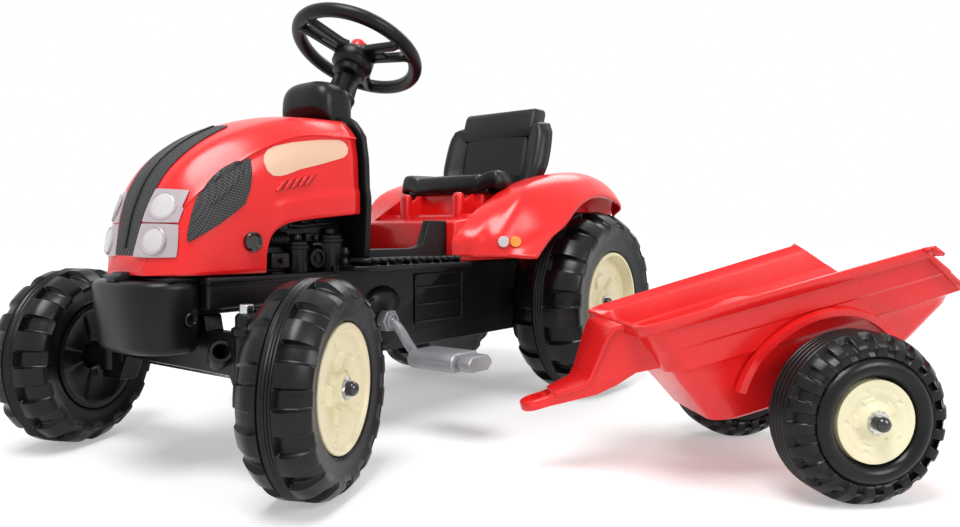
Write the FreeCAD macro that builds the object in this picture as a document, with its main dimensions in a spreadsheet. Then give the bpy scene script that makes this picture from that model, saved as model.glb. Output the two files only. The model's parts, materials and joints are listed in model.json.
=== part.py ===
import FreeCAD, Part
import math
import os
import re
import Sketcher

# Ride-on pedal tractor with a two-wheel trailer standing beside it, in millimetres and degrees.
# While it is built, X runs forward from the rear axle, Y to the left and Z up from the floor.

Vector = FreeCAD.Vector
Rotation = FreeCAD.Rotation
Placement = FreeCAD.Placement
UP = Vector(0, 0, 1)
ACROSS = Vector(0, 1, 0)
SIDES = (("left", 1), ("right", -1))

SIZES = {
    # wheels
    "wheel_base": 585, "rear_track": 304, "rear_radius": 137, "rear_width": 112,
    "stub_reach": 46, "front_radius": 100, "front_width": 68,
    "rear_disc": 76, "front_disc": 60, "rear_disc_out": 33, "front_disc_out": 25,
    "rear_lug": 8, "front_lug": 6, "rear_lug_width": 25, "front_lug_width": 18,
    "lug_count": 16, "lug_flat": 0.24, "lug_foot": 0.86, "tyre_wall": 4,
    "bead_drop": 5, "shoulder_share": 0.82,
    "rim_wall": 3.5, "hub_radius": 15, "hub_proud": 3, "dish_depth": 6, "disc_ribs": 6, "rib_depth": 8,
    "dish_share": 0.75,
    "axle_radius": 6, "axle_end": 7, "cap_radius": 8, "cap_length": 10, "washer_radius": 11,
    "washer_thick": 2,
    "front_hub_in": 6, "rear_hub_in": 48, "trailer_hub_in": 27.5,
    # steering
    "kingpin_track": 288, "kingpin_radius": 6, "kingpin_nut": 10, "nut_height": 8, "rest_steer": 24,
    "arm_length": 45, "arm_half": 8, "arm_low": 94, "arm_high": 100,
    "beam_low": 76, "beam_mid": 104, "beam_high": 144, "beam_lug": 8, "beam_depth": 20, "beam_eye": 10.5,
    "beam_throat": 17,
    "knuckle_radius": 13, "stub_boss": 11, "rod_low": 87.5, "rod_high": 90.5, "rod_half": 7.5,
    "rod_pin": 4, "open_pivot": 2, "column_lean": 26, "column_radius": 7, "column_room": 1.5,
    "hub_x": 338, "hub_z": 466, "column_foot_z": 118, "drop_pin_length": 18,
    "grip_major": 78, "grip_minor": 8, "grip_rise": 12, "wheel_hub": 22, "hub_depth": 26,
    "spoke_count": 3, "spoke_slot": 8, "spoke_width": 9, "spoke_low": 2,
    "horn_radius": 12, "horn_travel": 4, "horn_top": 22, "horn_floor": 4,
    # chassis
    "tub_half": 78, "tub_top": 204, "tub_bottom": 98, "tub_rear": -62, "nose_reach": 43,
    "tub_step": 160, "step_reach": 139, "tub_ramp": 30, "tub_heel": 12, "nose_half": 54, "wall": 4,
    "column_slot": 14,
    "board_half": 116, "board_front": 440, "board_rear": 240, "board_plate": 6,
    "ridge_count": 9, "ridge_width": 6, "ridge_height": 3,
    "sill_thick": 6, "sill_low": 18, "sill_high": 54, "sill_box": 36, "crank_boss": 32,
    "bumper_low": 124, "bumper_high": 195, "bumper_reach": 17, "bumper_nose": 66, "bumper_half": 78,
    "latch_half": 9,
    "engine_half": 76, "engine_inner": 30, "filter_radius": 12, "pulley_radius": 19, "pipe_radius": 5,
    # dashboard and bonnet
    "dash_front": 413, "dash_thick": 16, "dash_half": 84, "dash_top": 357, "dash_rim": 4,
    "rim_shoulder": 348, "rim_top": 377, "rim_top_half": 62, "cowl_half": 42, "cowl_top": 424,
    "cowl_front": 430, "column_boss": 19,
    "hood_gap": 3, "hood_floor": 200, "hood_wall": 3, "hood_skin": 1.6, "skin_gap": 0.2, "hinge_z": 364,
    "hinge_x": 425,
    "hinge_pin": 2.5, "hinge_eye": 5, "eye_out": 38, "eye_width": 12, "hinge_lug": 8, "hinge_room": 2,
    "hinge_half": 50,
    "engine_cut_x": 545, "engine_cut_z": 262, "vent_count": 5, "vent_pitch": 9,
    "vent_x": 481, "vent_z": 285, "plug_radius": 10, "plug_depth": 6, "plug_x": 556, "plug_y": 78,
    "plug_z": 232,
    "lamp_reach": 153, "mouth_half": 70, "mouth_high": 130,
    # rear body and seat
    "deck_z": 270, "deck_half": 90, "deck_front": 245, "deck_rear": -126,
    "fender_out": 182, "fender_radius": 199, "fender_skin": 5, "fender_tail": 138,
    "fender_crown": 134, "fender_fall": 25, "fender_toe": 165, "lamp_toe": 212, "lamp_panel": 40,
    "lamp_radius": 7.5, "lamp_depth": 5, "prong_out": 50, "prong_half": 8,
    "seat_half": 100, "seat_low": 300, "seat_thick": 30, "seat_rear": 42, "seat_front": 158,
    "back_half": 92, "back_top": 446, "back_thick": 14, "head_half": 62,
    # pedal drive
    "crank_x": 375, "crank_radius": 50, "crank_rest": -60, "crank_rod": 6, "crank_out": 104,
    "pedal_in": 124, "pedal_length": 88, "pedal_depth": 54, "pedal_thick": 22,
    "chain_y": -22, "chain_pitch": 12.7, "ring_teeth": 20, "cog_teeth": 16, "tooth_plate": 3,
    "tooth_height": 6.5,
    "link_plate": 1.2, "link_height": 9, "link_room": 0.8, "roller": 2.6, "bush_wall": 6, "bush_out": 8,
    # trailer
    "trailer_x": 205, "trailer_y": 504, "trailer_turn": -45.2, "trailer_nose_down": 15.1,
    "trailer_radius": 77, "trailer_width": 54, "trailer_track": 226, "trailer_disc": 38,
    "trailer_disc_out": 22, "trailer_lug": 5, "trailer_lug_width": 15,
    "bed_front": 160, "bed_rear": -120, "bed_high": 203, "bed_low": 88, "bed_half": 96, "bed_nose_half": 78,
    "bed_wall": 3, "bed_flange": 7, "bed_ledge": 150, "tail_rear": -166, "draw_tip": 280, "draw_z": 143,
    "draw_half": 15, "draw_thick": 10,
    # tow joint and fits
    "hitch_x": -150, "hitch_pin": 7.5, "hitch_height": 24, "hitch_plate": 8, "hitch_rise": 16, "tow_gap": 1,
    "run_gap": 0.05, "side_gap": 0.5,
}

doc = FreeCAD.newDocument("pedal_tractor")
sheet = doc.addObject("Spreadsheet::Sheet", "Sizes")
for row, (alias, amount) in enumerate(SIZES.items(), 1):
    sheet.set("A%d" % row, alias)
    sheet.set("B%d" % row, str(amount))
    sheet.setAlias("B%d" % row, alias)
doc.recompute()

nodes = []


# Places that follow from the sizes
PLACES = {
    "front_track": "(kingpin_track + 2 * stub_reach)", "tub_front": "(wheel_base + nose_reach)",
    "tub_step_x": "(wheel_base - step_reach)", "bumper_back": "(wheel_base + bumper_reach)",
    "dash_back": "(dash_front - dash_thick)",
}


# Formulas: texts in cell names, bound to the sheet where a feature takes them
def formula(text):
    def cell(word):
        if word[0] in PLACES:
            return formula(PLACES[word[0]])
        return "Sizes." + word[0] if word[0] in SIZES else word[0]
    return re.sub(r"[a-z][a-z0-9_]*", cell, str(text))


def number(text):
    return float(sheet.evalExpression(formula(text)))


def vector(x, y, z):
    return Vector(number(x), number(y), number(z))


def at(x, y, z, rotation=Rotation()):
    return Placement(vector(x, y, z), rotation)


def along(x, y, z):
    return Rotation(UP, Vector(x, y, z))


def turned_about(point, axis, degrees):
    return Placement(Vector(), Rotation(axis, degrees), point)


def node(thing, name, place=None):
    if place:
        thing.Placement = place.multiply(thing.Placement)
    thing.Label = name
    nodes.append(thing)


# Part Design: outlines on a body's own planes, with each corner bound to the sheet
def new_body(name):
    return doc.addObject("PartDesign::Body", name + "_body")


def datum(body, role):
    return next(feature for feature in body.Origin.OriginFeatures if feature.Role == role)


def outline(body, name, role, corners, lift="0"):
    sketch = body.newObject("Sketcher::SketchObject", name)
    sketch.AttachmentSupport = (datum(body, role), [""])
    sketch.MapMode = "FlatFace"
    sketch.setExpression("AttachmentOffset.Base.z", formula(lift))
    spots = [vector(across, upward, 0) for across, upward in corners]
    for index, spot in enumerate(spots):
        sketch.addGeometry(Part.LineSegment(spot, spots[(index + 1) % len(spots)]))
    for index in range(len(spots)):
        sketch.addConstraint(Sketcher.Constraint("Coincident", index, 2, (index + 1) % len(spots), 1))
    for index, (across, upward) in enumerate(corners):
        for kind, text in (("DistanceX", across), ("DistanceY", upward)):
            made = sketch.addConstraint(Sketcher.Constraint(kind, -1, 1, index, 1, number(text)))
            sketch.setExpression("Constraints[%d]" % made, formula(text))
    return sketch


def pad(body, sketch, length, symmetric=True):
    feature = body.newObject("PartDesign::Pad", sketch.Name + "_pad")
    feature.Profile = sketch
    feature.SideType = "Symmetric" if symmetric else "One side"
    feature.setExpression("Length", formula(length))
    return feature


def pocket(body, sketch, length=None):
    feature = body.newObject("PartDesign::Pocket", sketch.Name + "_pocket")
    feature.Profile = sketch
    feature.SideType = "Symmetric"
    if length:
        feature.setExpression("Length", formula(length))
    else:
        feature.Type = "ThroughAll"
    return feature


def revolve(body, sketch):
    feature = body.newObject("PartDesign::Revolution", sketch.Name + "_turn")
    feature.Profile = sketch
    feature.ReferenceAxis = (datum(body, "Z_Axis"), [""])
    feature.Angle = 360
    return feature


def polar(body, feature, count):
    ring = body.newObject("PartDesign::PolarPattern", feature.Name + "_ring")
    ring.Originals = [feature]
    ring.Axis = (datum(body, "Z_Axis"), [""])
    ring.Angle = 360
    ring.setExpression("Occurrences", formula(count))
    body.Tip = ring


def in_row(body, feature, length, count):
    row = body.newObject("PartDesign::LinearPattern", feature.Name + "_row")
    row.Originals = [feature]
    row.Direction = (datum(body, "X_Axis"), [""])
    row.setExpression("Length", formula(length))
    row.setExpression("Occurrences", formula(count))
    body.Tip = row


def hollow_from_below(body, feature, floor):
    doc.recompute()
    level = number(floor) + 0.1
    under = ["Face%d" % index for index, face in enumerate(feature.Shape.Faces,
                                                           1) if face.CenterOfMass.z < level]
    shell = body.newObject("PartDesign::Thickness", feature.Name + "_shell")
    shell.Base = (feature, under)
    shell.setExpression("Value", formula("wall"))
    shell.Reversed = True
    body.Tip = shell


# Part primitives and booleans, bound the same way
def rod(name, radius, length, place):
    made = doc.addObject("Part::Cylinder", name)
    made.setExpression("Radius", formula(radius))
    made.setExpression("Height", formula(length))
    made.Placement = place
    return made


def ball(name, radius, place):
    made = doc.addObject("Part::Sphere", name)
    made.setExpression("Radius", formula(radius))
    made.Placement = place
    return made


def block(name, x, y, z):
    made = doc.addObject("Part::Box", name)
    for side, (low, high) in (("Length", x), ("Width", y), ("Height", z)):
        made.setExpression(side, formula("(%s) - (%s)" % (high, low)))
    made.Placement = at(x[0], y[0], z[0])
    return made


def fuse(name, parts):
    made = doc.addObject("Part::MultiFuse", name)
    made.Shapes = parts
    made.Refine = True
    return made


def cut(name, base, tool):
    made = doc.addObject("Part::Cut", name)
    made.Base = base
    made.Tool = tool
    made.Refine = True
    return made


def group(name, parts):
    made = doc.addObject("Part::Compound", name)
    made.Links = parts
    return made


# Free forms: lofts and prisms through outlines worked out from the sheet
def shaped(name, shape):
    made = doc.addObject("Part::Feature", name)
    made.Shape = shape
    return made


def closed(points):
    return Part.makePolygon(points + points[:1])


def loft(sections, ruled=False):
    return Part.makeLoft([closed(points) for points in sections], True, ruled)


def prism(points, travel):
    return Part.Face(closed(points)).extrude(travel)


def box(x, y, z):
    return Part.makeBox(x[1] - x[0], y[1] - y[0], z[1] - z[0], Vector(x[0], y[0], z[0]))


def outward(side):
    return along(0, side, 0)


def span(side, inner, outer):
    return (inner, outer) if side > 0 else ("-(%s)" % outer, "-(%s)" % inner)


def handed(side, corners):
    return [(across, "%d * (%s)" % (side, upward)) for across, upward in corners]


def mirrored(half):
    return half + [("-(%s)" % across, upward) for across, upward in reversed(half)]


# Blow-moulded tyre: a hollow ring with two rows of lugs, one row half a pitch behind the other
def tread_outline(crest, groove, half_lug, phase, z):
    count = int(number("lug_count"))
    corners = []
    for index in range(count):
        for turn, radius in ((-half_lug, groove), (-half_lug, crest), (half_lug, crest),
                             (half_lug, groove)):
            turned = Rotation(UP, 360 * (index + phase) / count + turn)
            corners.append(turned.multVec(Vector(radius, 0, z)))
    return corners


def tyre(name, radius, width, disc, lug, lug_width):
    skin = number("%s - %s" % (radius, lug))
    brow, foot = number(radius + " * shoulder_share"), number(radius + " * lug_foot")
    flat, side = number(width + " * lug_flat"), number(width + " / 2")
    bore, wall, bead = number(disc), number("tyre_wall"), side - number("bead_drop")
    half_lug = math.degrees(math.atan(number(lug_width) / 2 / number(radius)))
    crest = number(radius) / math.cos(math.radians(half_lug))
    rows = []
    for phase, hand in ((0, 1), (0.5, -1)):
        rows.append(loft([
            tread_outline(crest, skin, half_lug, phase, 0),
            tread_outline(crest, skin, half_lug, phase, hand * flat),
            tread_outline(foot, brow, half_lug, phase, hand * side),
        ], True))
    dish = 2 * brow - wall - bore
    half = [(0, 2 * side - bead), (dish, 2 * side - bead), (bore, bead), (bore, bead - wall),
            (brow - wall, side - wall), (skin - wall, flat)]
    ring = half + [(across, -upward) for across, upward in reversed(half)]
    cavity = Part.Face(closed([Vector(across, 0, upward) for across, upward in ring]))
    return shaped(name + "_ring", rows[0].fuse(rows[1]).cut(cavity.revolve(Vector(), UP, 360)))


# Wheel disc: a drum that carries the tyre, a dished face and a hub tube, with ribs behind
def rim(name, disc, width, out, bore, hub_in):
    body = new_body(name)
    drum = "(%s - side_gap)" % disc
    inside = "(%s - side_gap - rim_wall)" % disc
    edge = "(%s / 2 - bead_drop - side_gap)" % width
    behind = out + " - rim_wall - dish_depth"
    profile = [
        (bore, hub_in), ("hub_radius", hub_in), ("hub_radius", behind), (inside, behind),
        (inside, "-" + edge),
        (drum, "-" + edge), (drum, edge), (inside, edge), (inside, out), ("%s * dish_share" % disc, out),
        ("hub_radius + hub_proud", out + " - dish_depth"), ("hub_radius", out + " + hub_proud"),
        (bore, out + " + hub_proud"),
    ]
    revolve(body, outline(body, name + "_dish", "XZ_Plane", profile))
    rib = [("hub_radius - 1", behind + " - rib_depth"), ("hub_radius - 1", behind + " + 1"),
           (inside + " + 1", behind + " + 1"), (inside + " + 1", behind + " - rib_depth")]
    polar(body, pad(body, outline(body, name + "_rib", "XZ_Plane", rib), "rim_wall"), "disc_ribs")
    return body


def cap(name, out, place):
    seat = out + " + hub_proud + side_gap"
    washer = rod(name + "_washer", "washer_radius", "washer_thick", at(0, 0, seat))
    dome = doc.addObject("Part::Cone", name + "_dome")
    dome.setExpression("Radius1", formula("cap_radius"))
    dome.setExpression("Radius2", formula("cap_radius * 0.6"))
    dome.setExpression("Height", formula("cap_length"))
    dome.Placement = at(0, 0, seat + " + washer_thick")
    bore = rod(name + "_bore", "axle_radius", "axle_end", at(0, 0, seat))
    node(cut(name + "_cut", fuse(name + "_solid", [washer, dome]), bore), name, place)


def steered(side):
    pin = vector("wheel_base", "%d * kingpin_track / 2" % side, "0")
    return turned_about(pin, UP, number("rest_steer"))


def wheel(label, place, kind, bore, hub_in):
    disc, width, out = kind + "_disc", kind + "_width", kind + "_disc_out"
    name = "%s_tyre_%s" % (kind, label)
    node(tyre(name, kind + "_radius", width, disc, kind + "_lug", kind + "_lug_width"), name, place)
    name = "%s_rim_%s" % (kind, label)
    node(rim(name, disc, width, out, bore, hub_in), name, place)
    cap("%s_cap_%s" % (kind, label), out, place)


def wheels():
    rolling = trailer_axle_place()
    for label, side in SIDES:
        hub = at("wheel_base", "%d * front_track / 2" % side, "front_radius", outward(side))
        wheel(label, steered(side).multiply(hub), "front", "axle_radius + run_gap", "-front_hub_in")
        hub = at("0", "%d * rear_track / 2" % side, "rear_radius", outward(side))
        wheel(label, hub, "rear", "axle_radius", "-rear_hub_in")
        hub = at("0", "%d * trailer_track / 2" % side, "0", outward(side))
        wheel(label, rolling.multiply(hub), "trailer", "axle_radius + run_gap", "-trailer_hub_in")


# Front axle: a forked beam, the kingpins, the knuckles with stub axles and the tie rod
def front_axle():
    body = new_body("front_axle_beam")
    reach = "(kingpin_track / 2)"
    throat = "(kingpin_track / 2 - beam_throat)"
    half = [
        (throat + " - 2 * beam_throat", "beam_mid"), (throat + " - beam_throat", "beam_low"),
        (reach, "beam_low"),
        (reach, "beam_low + beam_lug"), (throat, "beam_low + beam_lug"), (throat, "beam_high - beam_lug"),
        (reach, "beam_high - beam_lug"), (reach, "beam_high"), ("nose_half + wall", "beam_high"),
        ("nose_half", "tub_step"),
    ]
    pad(body, outline(body, "fork", "YZ_Plane", mirrored(half)), "beam_depth")
    body.Placement = at("wheel_base", "0", "0")
    bores = []
    pins = []
    parts = [body]
    for label, side in SIDES:
        y = "%d * kingpin_track / 2" % side
        for lug, level in (("low", "beam_low"), ("high", "beam_high - beam_lug")):
            place = at("wheel_base", y, level)
            parts.append(rod("beam_eye_%s_%s" % (lug, label), "beam_eye", "beam_lug", place))
        bores.append(rod("beam_bore_" + label, "kingpin_radius", "beam_high", at("wheel_base", y, "0")))
        shank = rod("kingpin_shank_" + label, "kingpin_radius", "beam_high - beam_low",
                    at("wheel_base", y, "beam_low"))
        nut = rod("kingpin_head_" + label, "kingpin_nut", "nut_height", at("wheel_base", y, "beam_high"))
        pins.append(fuse("kingpin_" + label, [shank, nut]))
    node(cut("beam_bored", fuse("beam_solid", parts), group("beam_bores", bores)), "front_axle_beam")
    node(group("kingpin_pair", pins), "kingpins")


def knuckles():
    reach = "(front_track - kingpin_track) / 2"
    for label, side in SIDES:
        y = "%d * kingpin_track / 2" % side
        barrel = rod("barrel_" + label, "knuckle_radius",
                     "beam_high - beam_low - 2 * (beam_lug + side_gap)",
                     at("wheel_base", y, "beam_low + beam_lug + side_gap"))
        middle_place = at("wheel_base", y, "front_radius", outward(side))
        stub = rod("stub_" + label, "axle_radius", reach + " + front_disc_out + axle_end", middle_place)
        boss = rod("stub_boss_" + label, "stub_boss", reach + " - front_hub_in - side_gap", middle_place)
        arm = block("arm_" + label, ("wheel_base - arm_length - arm_half", "wheel_base"),
                    (y + " - arm_half", y + " + arm_half"), ("arm_low", "arm_high"))
        pin = rod("arm_pin_" + label, "rod_pin", "arm_low - rod_low + wall",
                  at("wheel_base - arm_length", y, "rod_low - wall / 2"))
        bore = rod("barrel_bore_" + label, "kingpin_radius + run_gap", "beam_high",
                   at("wheel_base", y, "0"))
        solid = fuse("knuckle_solid_" + label, [barrel, stub, boss, arm, pin])
        node(cut("knuckle_bored_" + label, solid, bore), "knuckle_" + label, steered(side))


def column_x(height):
    return "(hub_x + (hub_z - %s) * tan(column_lean * 1 deg))" % height


def drop_eye_x():
    # where the slanting drop pin crosses the tie rod's plane with the wheels straight
    pin_z = "column_foot_z - arm_length * sin(column_lean * 1 deg)"
    pin_x = "%s - arm_length * cos(column_lean * 1 deg)" % column_x("column_foot_z")
    return "(%s + (%s - (rod_low + rod_high) / 2) * tan(column_lean * 1 deg))" % (pin_x, pin_z)


def tie_rod():
    straight = vector("-arm_length", "0", "0")
    shift = Rotation(UP, number("rest_steer")).multVec(straight) - straight
    body = new_body("tie_rod")
    half = "kingpin_track / 2"
    front = "wheel_base - arm_length"
    eye = drop_eye_x()
    plate = [
        (front + " + rod_half", "-%s - rod_half" % half), (front + " + rod_half", half + " + rod_half"),
        (front + " - rod_half", half + " + rod_half"), (front + " - rod_half", "2 * rod_half"),
        (eye + " - rod_half", "rod_half"), (eye + " - rod_half", "-rod_half"),
        (front + " - rod_half", "-2 * rod_half"),
        (front + " - rod_half", "-%s - rod_half" % half),
    ]
    pad(body, outline(body, "tie_plate", "XY_Plane", plate, "rod_low"), "rod_high - rod_low", False)
    holes = [
        rod("tie_hole_left", "rod_pin + run_gap", "rod_high", at(front, half, "0")),
        rod("tie_hole_right", "rod_pin + open_pivot", "rod_high", at(front, "-" + half, "0")),
        rod("tie_eye", "rod_pin + open_pivot", "rod_high", at(eye, "0", "0")),
    ]
    node(cut("tie_rod_bored", body, group("tie_holes", holes)), "tie_rod", Placement(shift, Rotation()))


def column_turn():
    lean = Rotation(ACROSS, -number("column_lean"))
    return at("hub_x", "0", "hub_z", lean.multiply(Rotation(UP, number("rest_steer"))))


def steering():
    foot = "-(hub_z - column_foot_z) / cos(column_lean * 1 deg)"
    arm_radius = "column_radius - 1"
    shaft = rod("column_rod", "column_radius", "horn_floor - (%s)" % foot, at("0", "0", foot))
    arm = rod("drop_arm", arm_radius, "arm_length", at("0", "0", foot, along(-1, 0, 0)))
    knee = ball("column_knee", "column_radius", at("0", "0", foot))
    bend = ball("drop_bend", arm_radius, at("-arm_length", "0", foot))
    pin = rod("drop_pin", "rod_pin", "drop_pin_length", at("-arm_length", "0", foot + " - drop_pin_length"))
    node(fuse("column_solid", [shaft, arm, knee, bend, pin]), "steering_shaft", column_turn())
    body = new_body("steering_wheel")
    ring = []
    for turn in range(0, 360, 60):
        ring.append(("grip_major + grip_minor * cos(%d deg)" % turn,
                     "grip_rise + grip_minor * sin(%d deg)" % turn))
    revolve(body, outline(body, "grip", "XZ_Plane", ring))
    well = "horn_radius + run_gap"
    boss = [
        ("column_radius", "-hub_depth"), ("wheel_hub - 4", "-hub_depth"), ("wheel_hub", "-hub_depth / 2"),
        ("wheel_hub", "horn_floor"), ("horn_radius + 4", "grip_rise"), (well, "grip_rise"),
        (well, "horn_floor"),
        ("column_radius", "horn_floor"),
    ]
    revolve(body, outline(body, "boss", "XZ_Plane", boss))
    for name, hand in (("spoke_a", 1), ("spoke_b", -1)):
        spoke = [("wheel_hub - 3", "spoke_slot / 2"), ("grip_major", "spoke_slot / 2 + 2"),
                 ("grip_major", "spoke_slot / 2 + spoke_width + 2"),
                 ("wheel_hub - 3", "spoke_slot / 2 + spoke_width")]
        sketch = outline(body, name, "XY_Plane", handed(hand, spoke), "spoke_low")
        polar(body, pad(body, sketch, "grip_minor", False), "spoke_count")
    node(body, "steering_wheel", column_turn())
    button = new_body("horn_button")
    seat = "horn_floor + horn_travel + side_gap"
    dome = [("0", seat), ("horn_radius", seat), ("horn_radius", "horn_top - 6"),
            ("horn_radius * 0.7", "horn_top - 1"),
            ("0", "horn_top")]
    revolve(button, outline(button, "dome", "XZ_Plane", dome))
    node(button, "horn_button", column_turn())


# Chassis: a moulded tub open below, with ridged foot boards, and what is screwed to it
def chassis():
    body = new_body("chassis_tub")
    ramp = "tub_step_x - tub_ramp"
    flank = [
        ("tub_rear", "tub_bottom + tub_heel"), ("tub_rear + tub_ramp", "tub_bottom"), (ramp, "tub_bottom"),
        ("tub_step_x", "tub_step"), ("tub_front", "tub_step"), ("tub_front", "tub_top"),
        ("tub_rear", "tub_top"),
    ]
    pad(body, outline(body, "flank", "XZ_Plane", flank), "2 * tub_half")
    hollow = [
        ("tub_rear + wall", "tub_bottom - wall"), (ramp + " - wall", "tub_bottom - wall"),
        ("tub_step_x - wall", "tub_step - wall"), ("tub_front - wall", "tub_step - wall"),
        ("tub_front - wall", "tub_top - wall"), ("tub_rear + wall", "tub_top - wall"),
    ]
    pocket(body, outline(body, "hollow", "XZ_Plane", hollow), "2 * (tub_half - wall)")
    for label, side in SIDES:
        notch = [("tub_step_x", "nose_half"), ("tub_step_x", "tub_half + wall"),
                 ("tub_front + wall", "tub_half + wall"),
                 ("tub_front + wall", "nose_half")]
        pocket(body, outline(body, "notch_" + label, "XY_Plane", handed(side, notch)))
        cheek = [("tub_step_x - wall", "nose_half - wall"), ("tub_step_x - wall", "tub_half"),
                 ("tub_step_x", "tub_half"),
                 ("tub_step_x", "nose_half"), ("tub_front", "nose_half"), ("tub_front", "nose_half - wall")]
        sketch = outline(body, "cheek_" + label, "XY_Plane", handed(side, cheek), "tub_step")
        pad(body, sketch, "tub_top - tub_step", False)
        board = [("board_rear", "tub_half - wall / 2"), ("board_front", "tub_half - wall / 2"),
                 ("board_front", "board_half - 12"), ("board_front - 12", "board_half"),
                 ("board_rear", "board_half")]
        sketch = outline(body, "board_" + label, "XY_Plane", handed(side, board), "tub_top - board_plate")
        pad(body, sketch, "board_plate", False)
        ridge = [("board_rear + 12", "dash_half + 6"), ("board_rear + 12 + ridge_width", "dash_half + 6"),
                 ("board_rear + 16 + ridge_width", "board_half - 4"), ("board_rear + 16", "board_half - 4")]
        sketch = outline(body, "ridge_" + label, "XY_Plane", handed(side, ridge), "tub_top - 1")
        in_row(body, pad(body, sketch, "ridge_height + 1", False), "board_front - board_rear - 46",
               "ridge_count")
        sill = [
            ("deck_front + side_gap", "tub_top - 1"), ("dash_back - side_gap", "tub_top - 1"),
            ("dash_back - side_gap", "tub_top + sill_low"),
            ("deck_front + 2 * sill_box", "tub_top + sill_low"),
            ("deck_front + 1.4 * sill_box", "tub_top + sill_low + wall"),
            ("deck_front + sill_box", "tub_top + sill_high"),
            ("deck_front + side_gap", "tub_top + sill_high"),
        ]
        sketch = outline(body, "sill_" + label, "XZ_Plane", sill, "%d * (tub_half - sill_thick)" % side)
        pad(body, sketch, "2 * sill_thick")
    parts = [body]
    for label, side in SIDES:
        place = at("crank_x", "%d * (tub_half - wall / 2)" % side, "rear_radius", outward(side))
        parts.append(rod("crank_boss_" + label, "crank_boss", "wall / 2 + bush_out", place))
    across = "2 * tub_half + 20"
    bores = [
        rod("axle_hole", "axle_radius + bush_wall", across,
            at("0", "-tub_half - 10", "rear_radius", outward(1))),
        rod("crank_hole", "crank_rod + bush_wall", across, at("crank_x", "-tub_half - 10", "rear_radius",
                                                              outward(1))),
        block("column_slot", (column_x("tub_top") + " - column_slot",
                              column_x("tub_top") + " + column_slot"),
              ("-column_slot", "column_slot"), ("tub_top - column_slot", "tub_top + ridge_height")),
    ]
    node(cut("chassis_bored", fuse("chassis_solid", parts), group("chassis_holes", bores)), "chassis_tub")


def bushes():
    for name, radius, x in (("rear_axle_bushes", "axle_radius", "0"),
                            ("crank_bushes", "crank_rod", "crank_x")):
        rings = []
        for label, side in SIDES:
            base = at(x, "%d * (tub_half - wall)" % side, "rear_radius", outward(side))
            sleeve = rod("%s_sleeve_%s" % (name, label), radius + " + bush_wall", "wall + bush_out", base)
            bore = rod("%s_bore_%s" % (name, label), radius + " + run_gap", "wall + bush_out", base)
            rings.append(cut("%s_%s" % (name, label), sleeve, bore))
        node(group(name + "_pair", rings), name)


def bumper():
    body = new_body("front_bumper")
    nose = "bumper_back + bumper_nose"
    plan = [
        ("bumper_back", "bumper_half - 8"), ("bumper_back + 12", "bumper_half"),
        (nose + " - 26", "bumper_half - 4"),
        (nose + " - 8", "bumper_half - 28"), (nose, "latch_half * 2"),
    ]
    plan += [(across, "-(%s)" % upward) for across, upward in reversed(plan)]
    skin = pad(body, outline(body, "bumper_plan", "XY_Plane", plan, "bumper_low"),
               "bumper_high - bumper_low", False)
    hollow_from_below(body, skin, "bumper_low")
    window = block("bumper_window", ("bumper_back - 1", "tub_front"), ("-nose_half", "nose_half"),
                   ("bumper_low - 1", "tub_top"))
    tab = block("latch_tab", (nose + " - 16", nose + " - 6"), ("-latch_half", "latch_half"),
                ("bumper_high", "bumper_high + 3"))
    node(fuse("bumper_tabbed", [cut("bumper_open", body, window), tab]), "front_bumper")


def engine():
    face = "(engine_half - filter_radius)"
    for label, side in SIDES:
        core = block("engine_core_" + label, ("dash_front", "engine_cut_x + 22"),
                     span(side, "engine_inner", face),
                     ("tub_top", "engine_cut_z + 20"))
        room = block("engine_room_" + label, ("dash_front + wall", "engine_cut_x + 22 - wall"),
                     span(side, "engine_inner - wall", face + " - wall"),
                     ("tub_top + wall", "engine_cut_z + 20 - wall"))
        parts = [cut("engine_block_" + label, core, room)]
        for index, x in enumerate(("dash_front + 36", "dash_front + 66")):
            place = at(x, "%d * %s" % (side, face), "tub_top + 10")
            parts.append(rod("filter_%d_%s" % (index, label), "filter_radius",
                             "engine_cut_z - tub_top - 6", place))
        place = at("dash_front + 98", "%d * (%s - 2)" % (side, face), "tub_top + 30", outward(side))
        parts.append(rod("pulley_" + label, "pulley_radius", "filter_radius - 2", place))
        parts.append(rod("pulley_hub_" + label, "pulley_radius / 2", "filter_radius + 2", place))
        place = at("dash_front + 12", "%d * (%s + 2)" % (side, face), "tub_top + 9", along(1, 0, 0))
        parts.append(rod("pipe_" + label, "pipe_radius", "engine_cut_x - dash_front - 29", place))
        node(fuse("engine_solid_" + label, parts), "engine_" + label)


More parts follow.
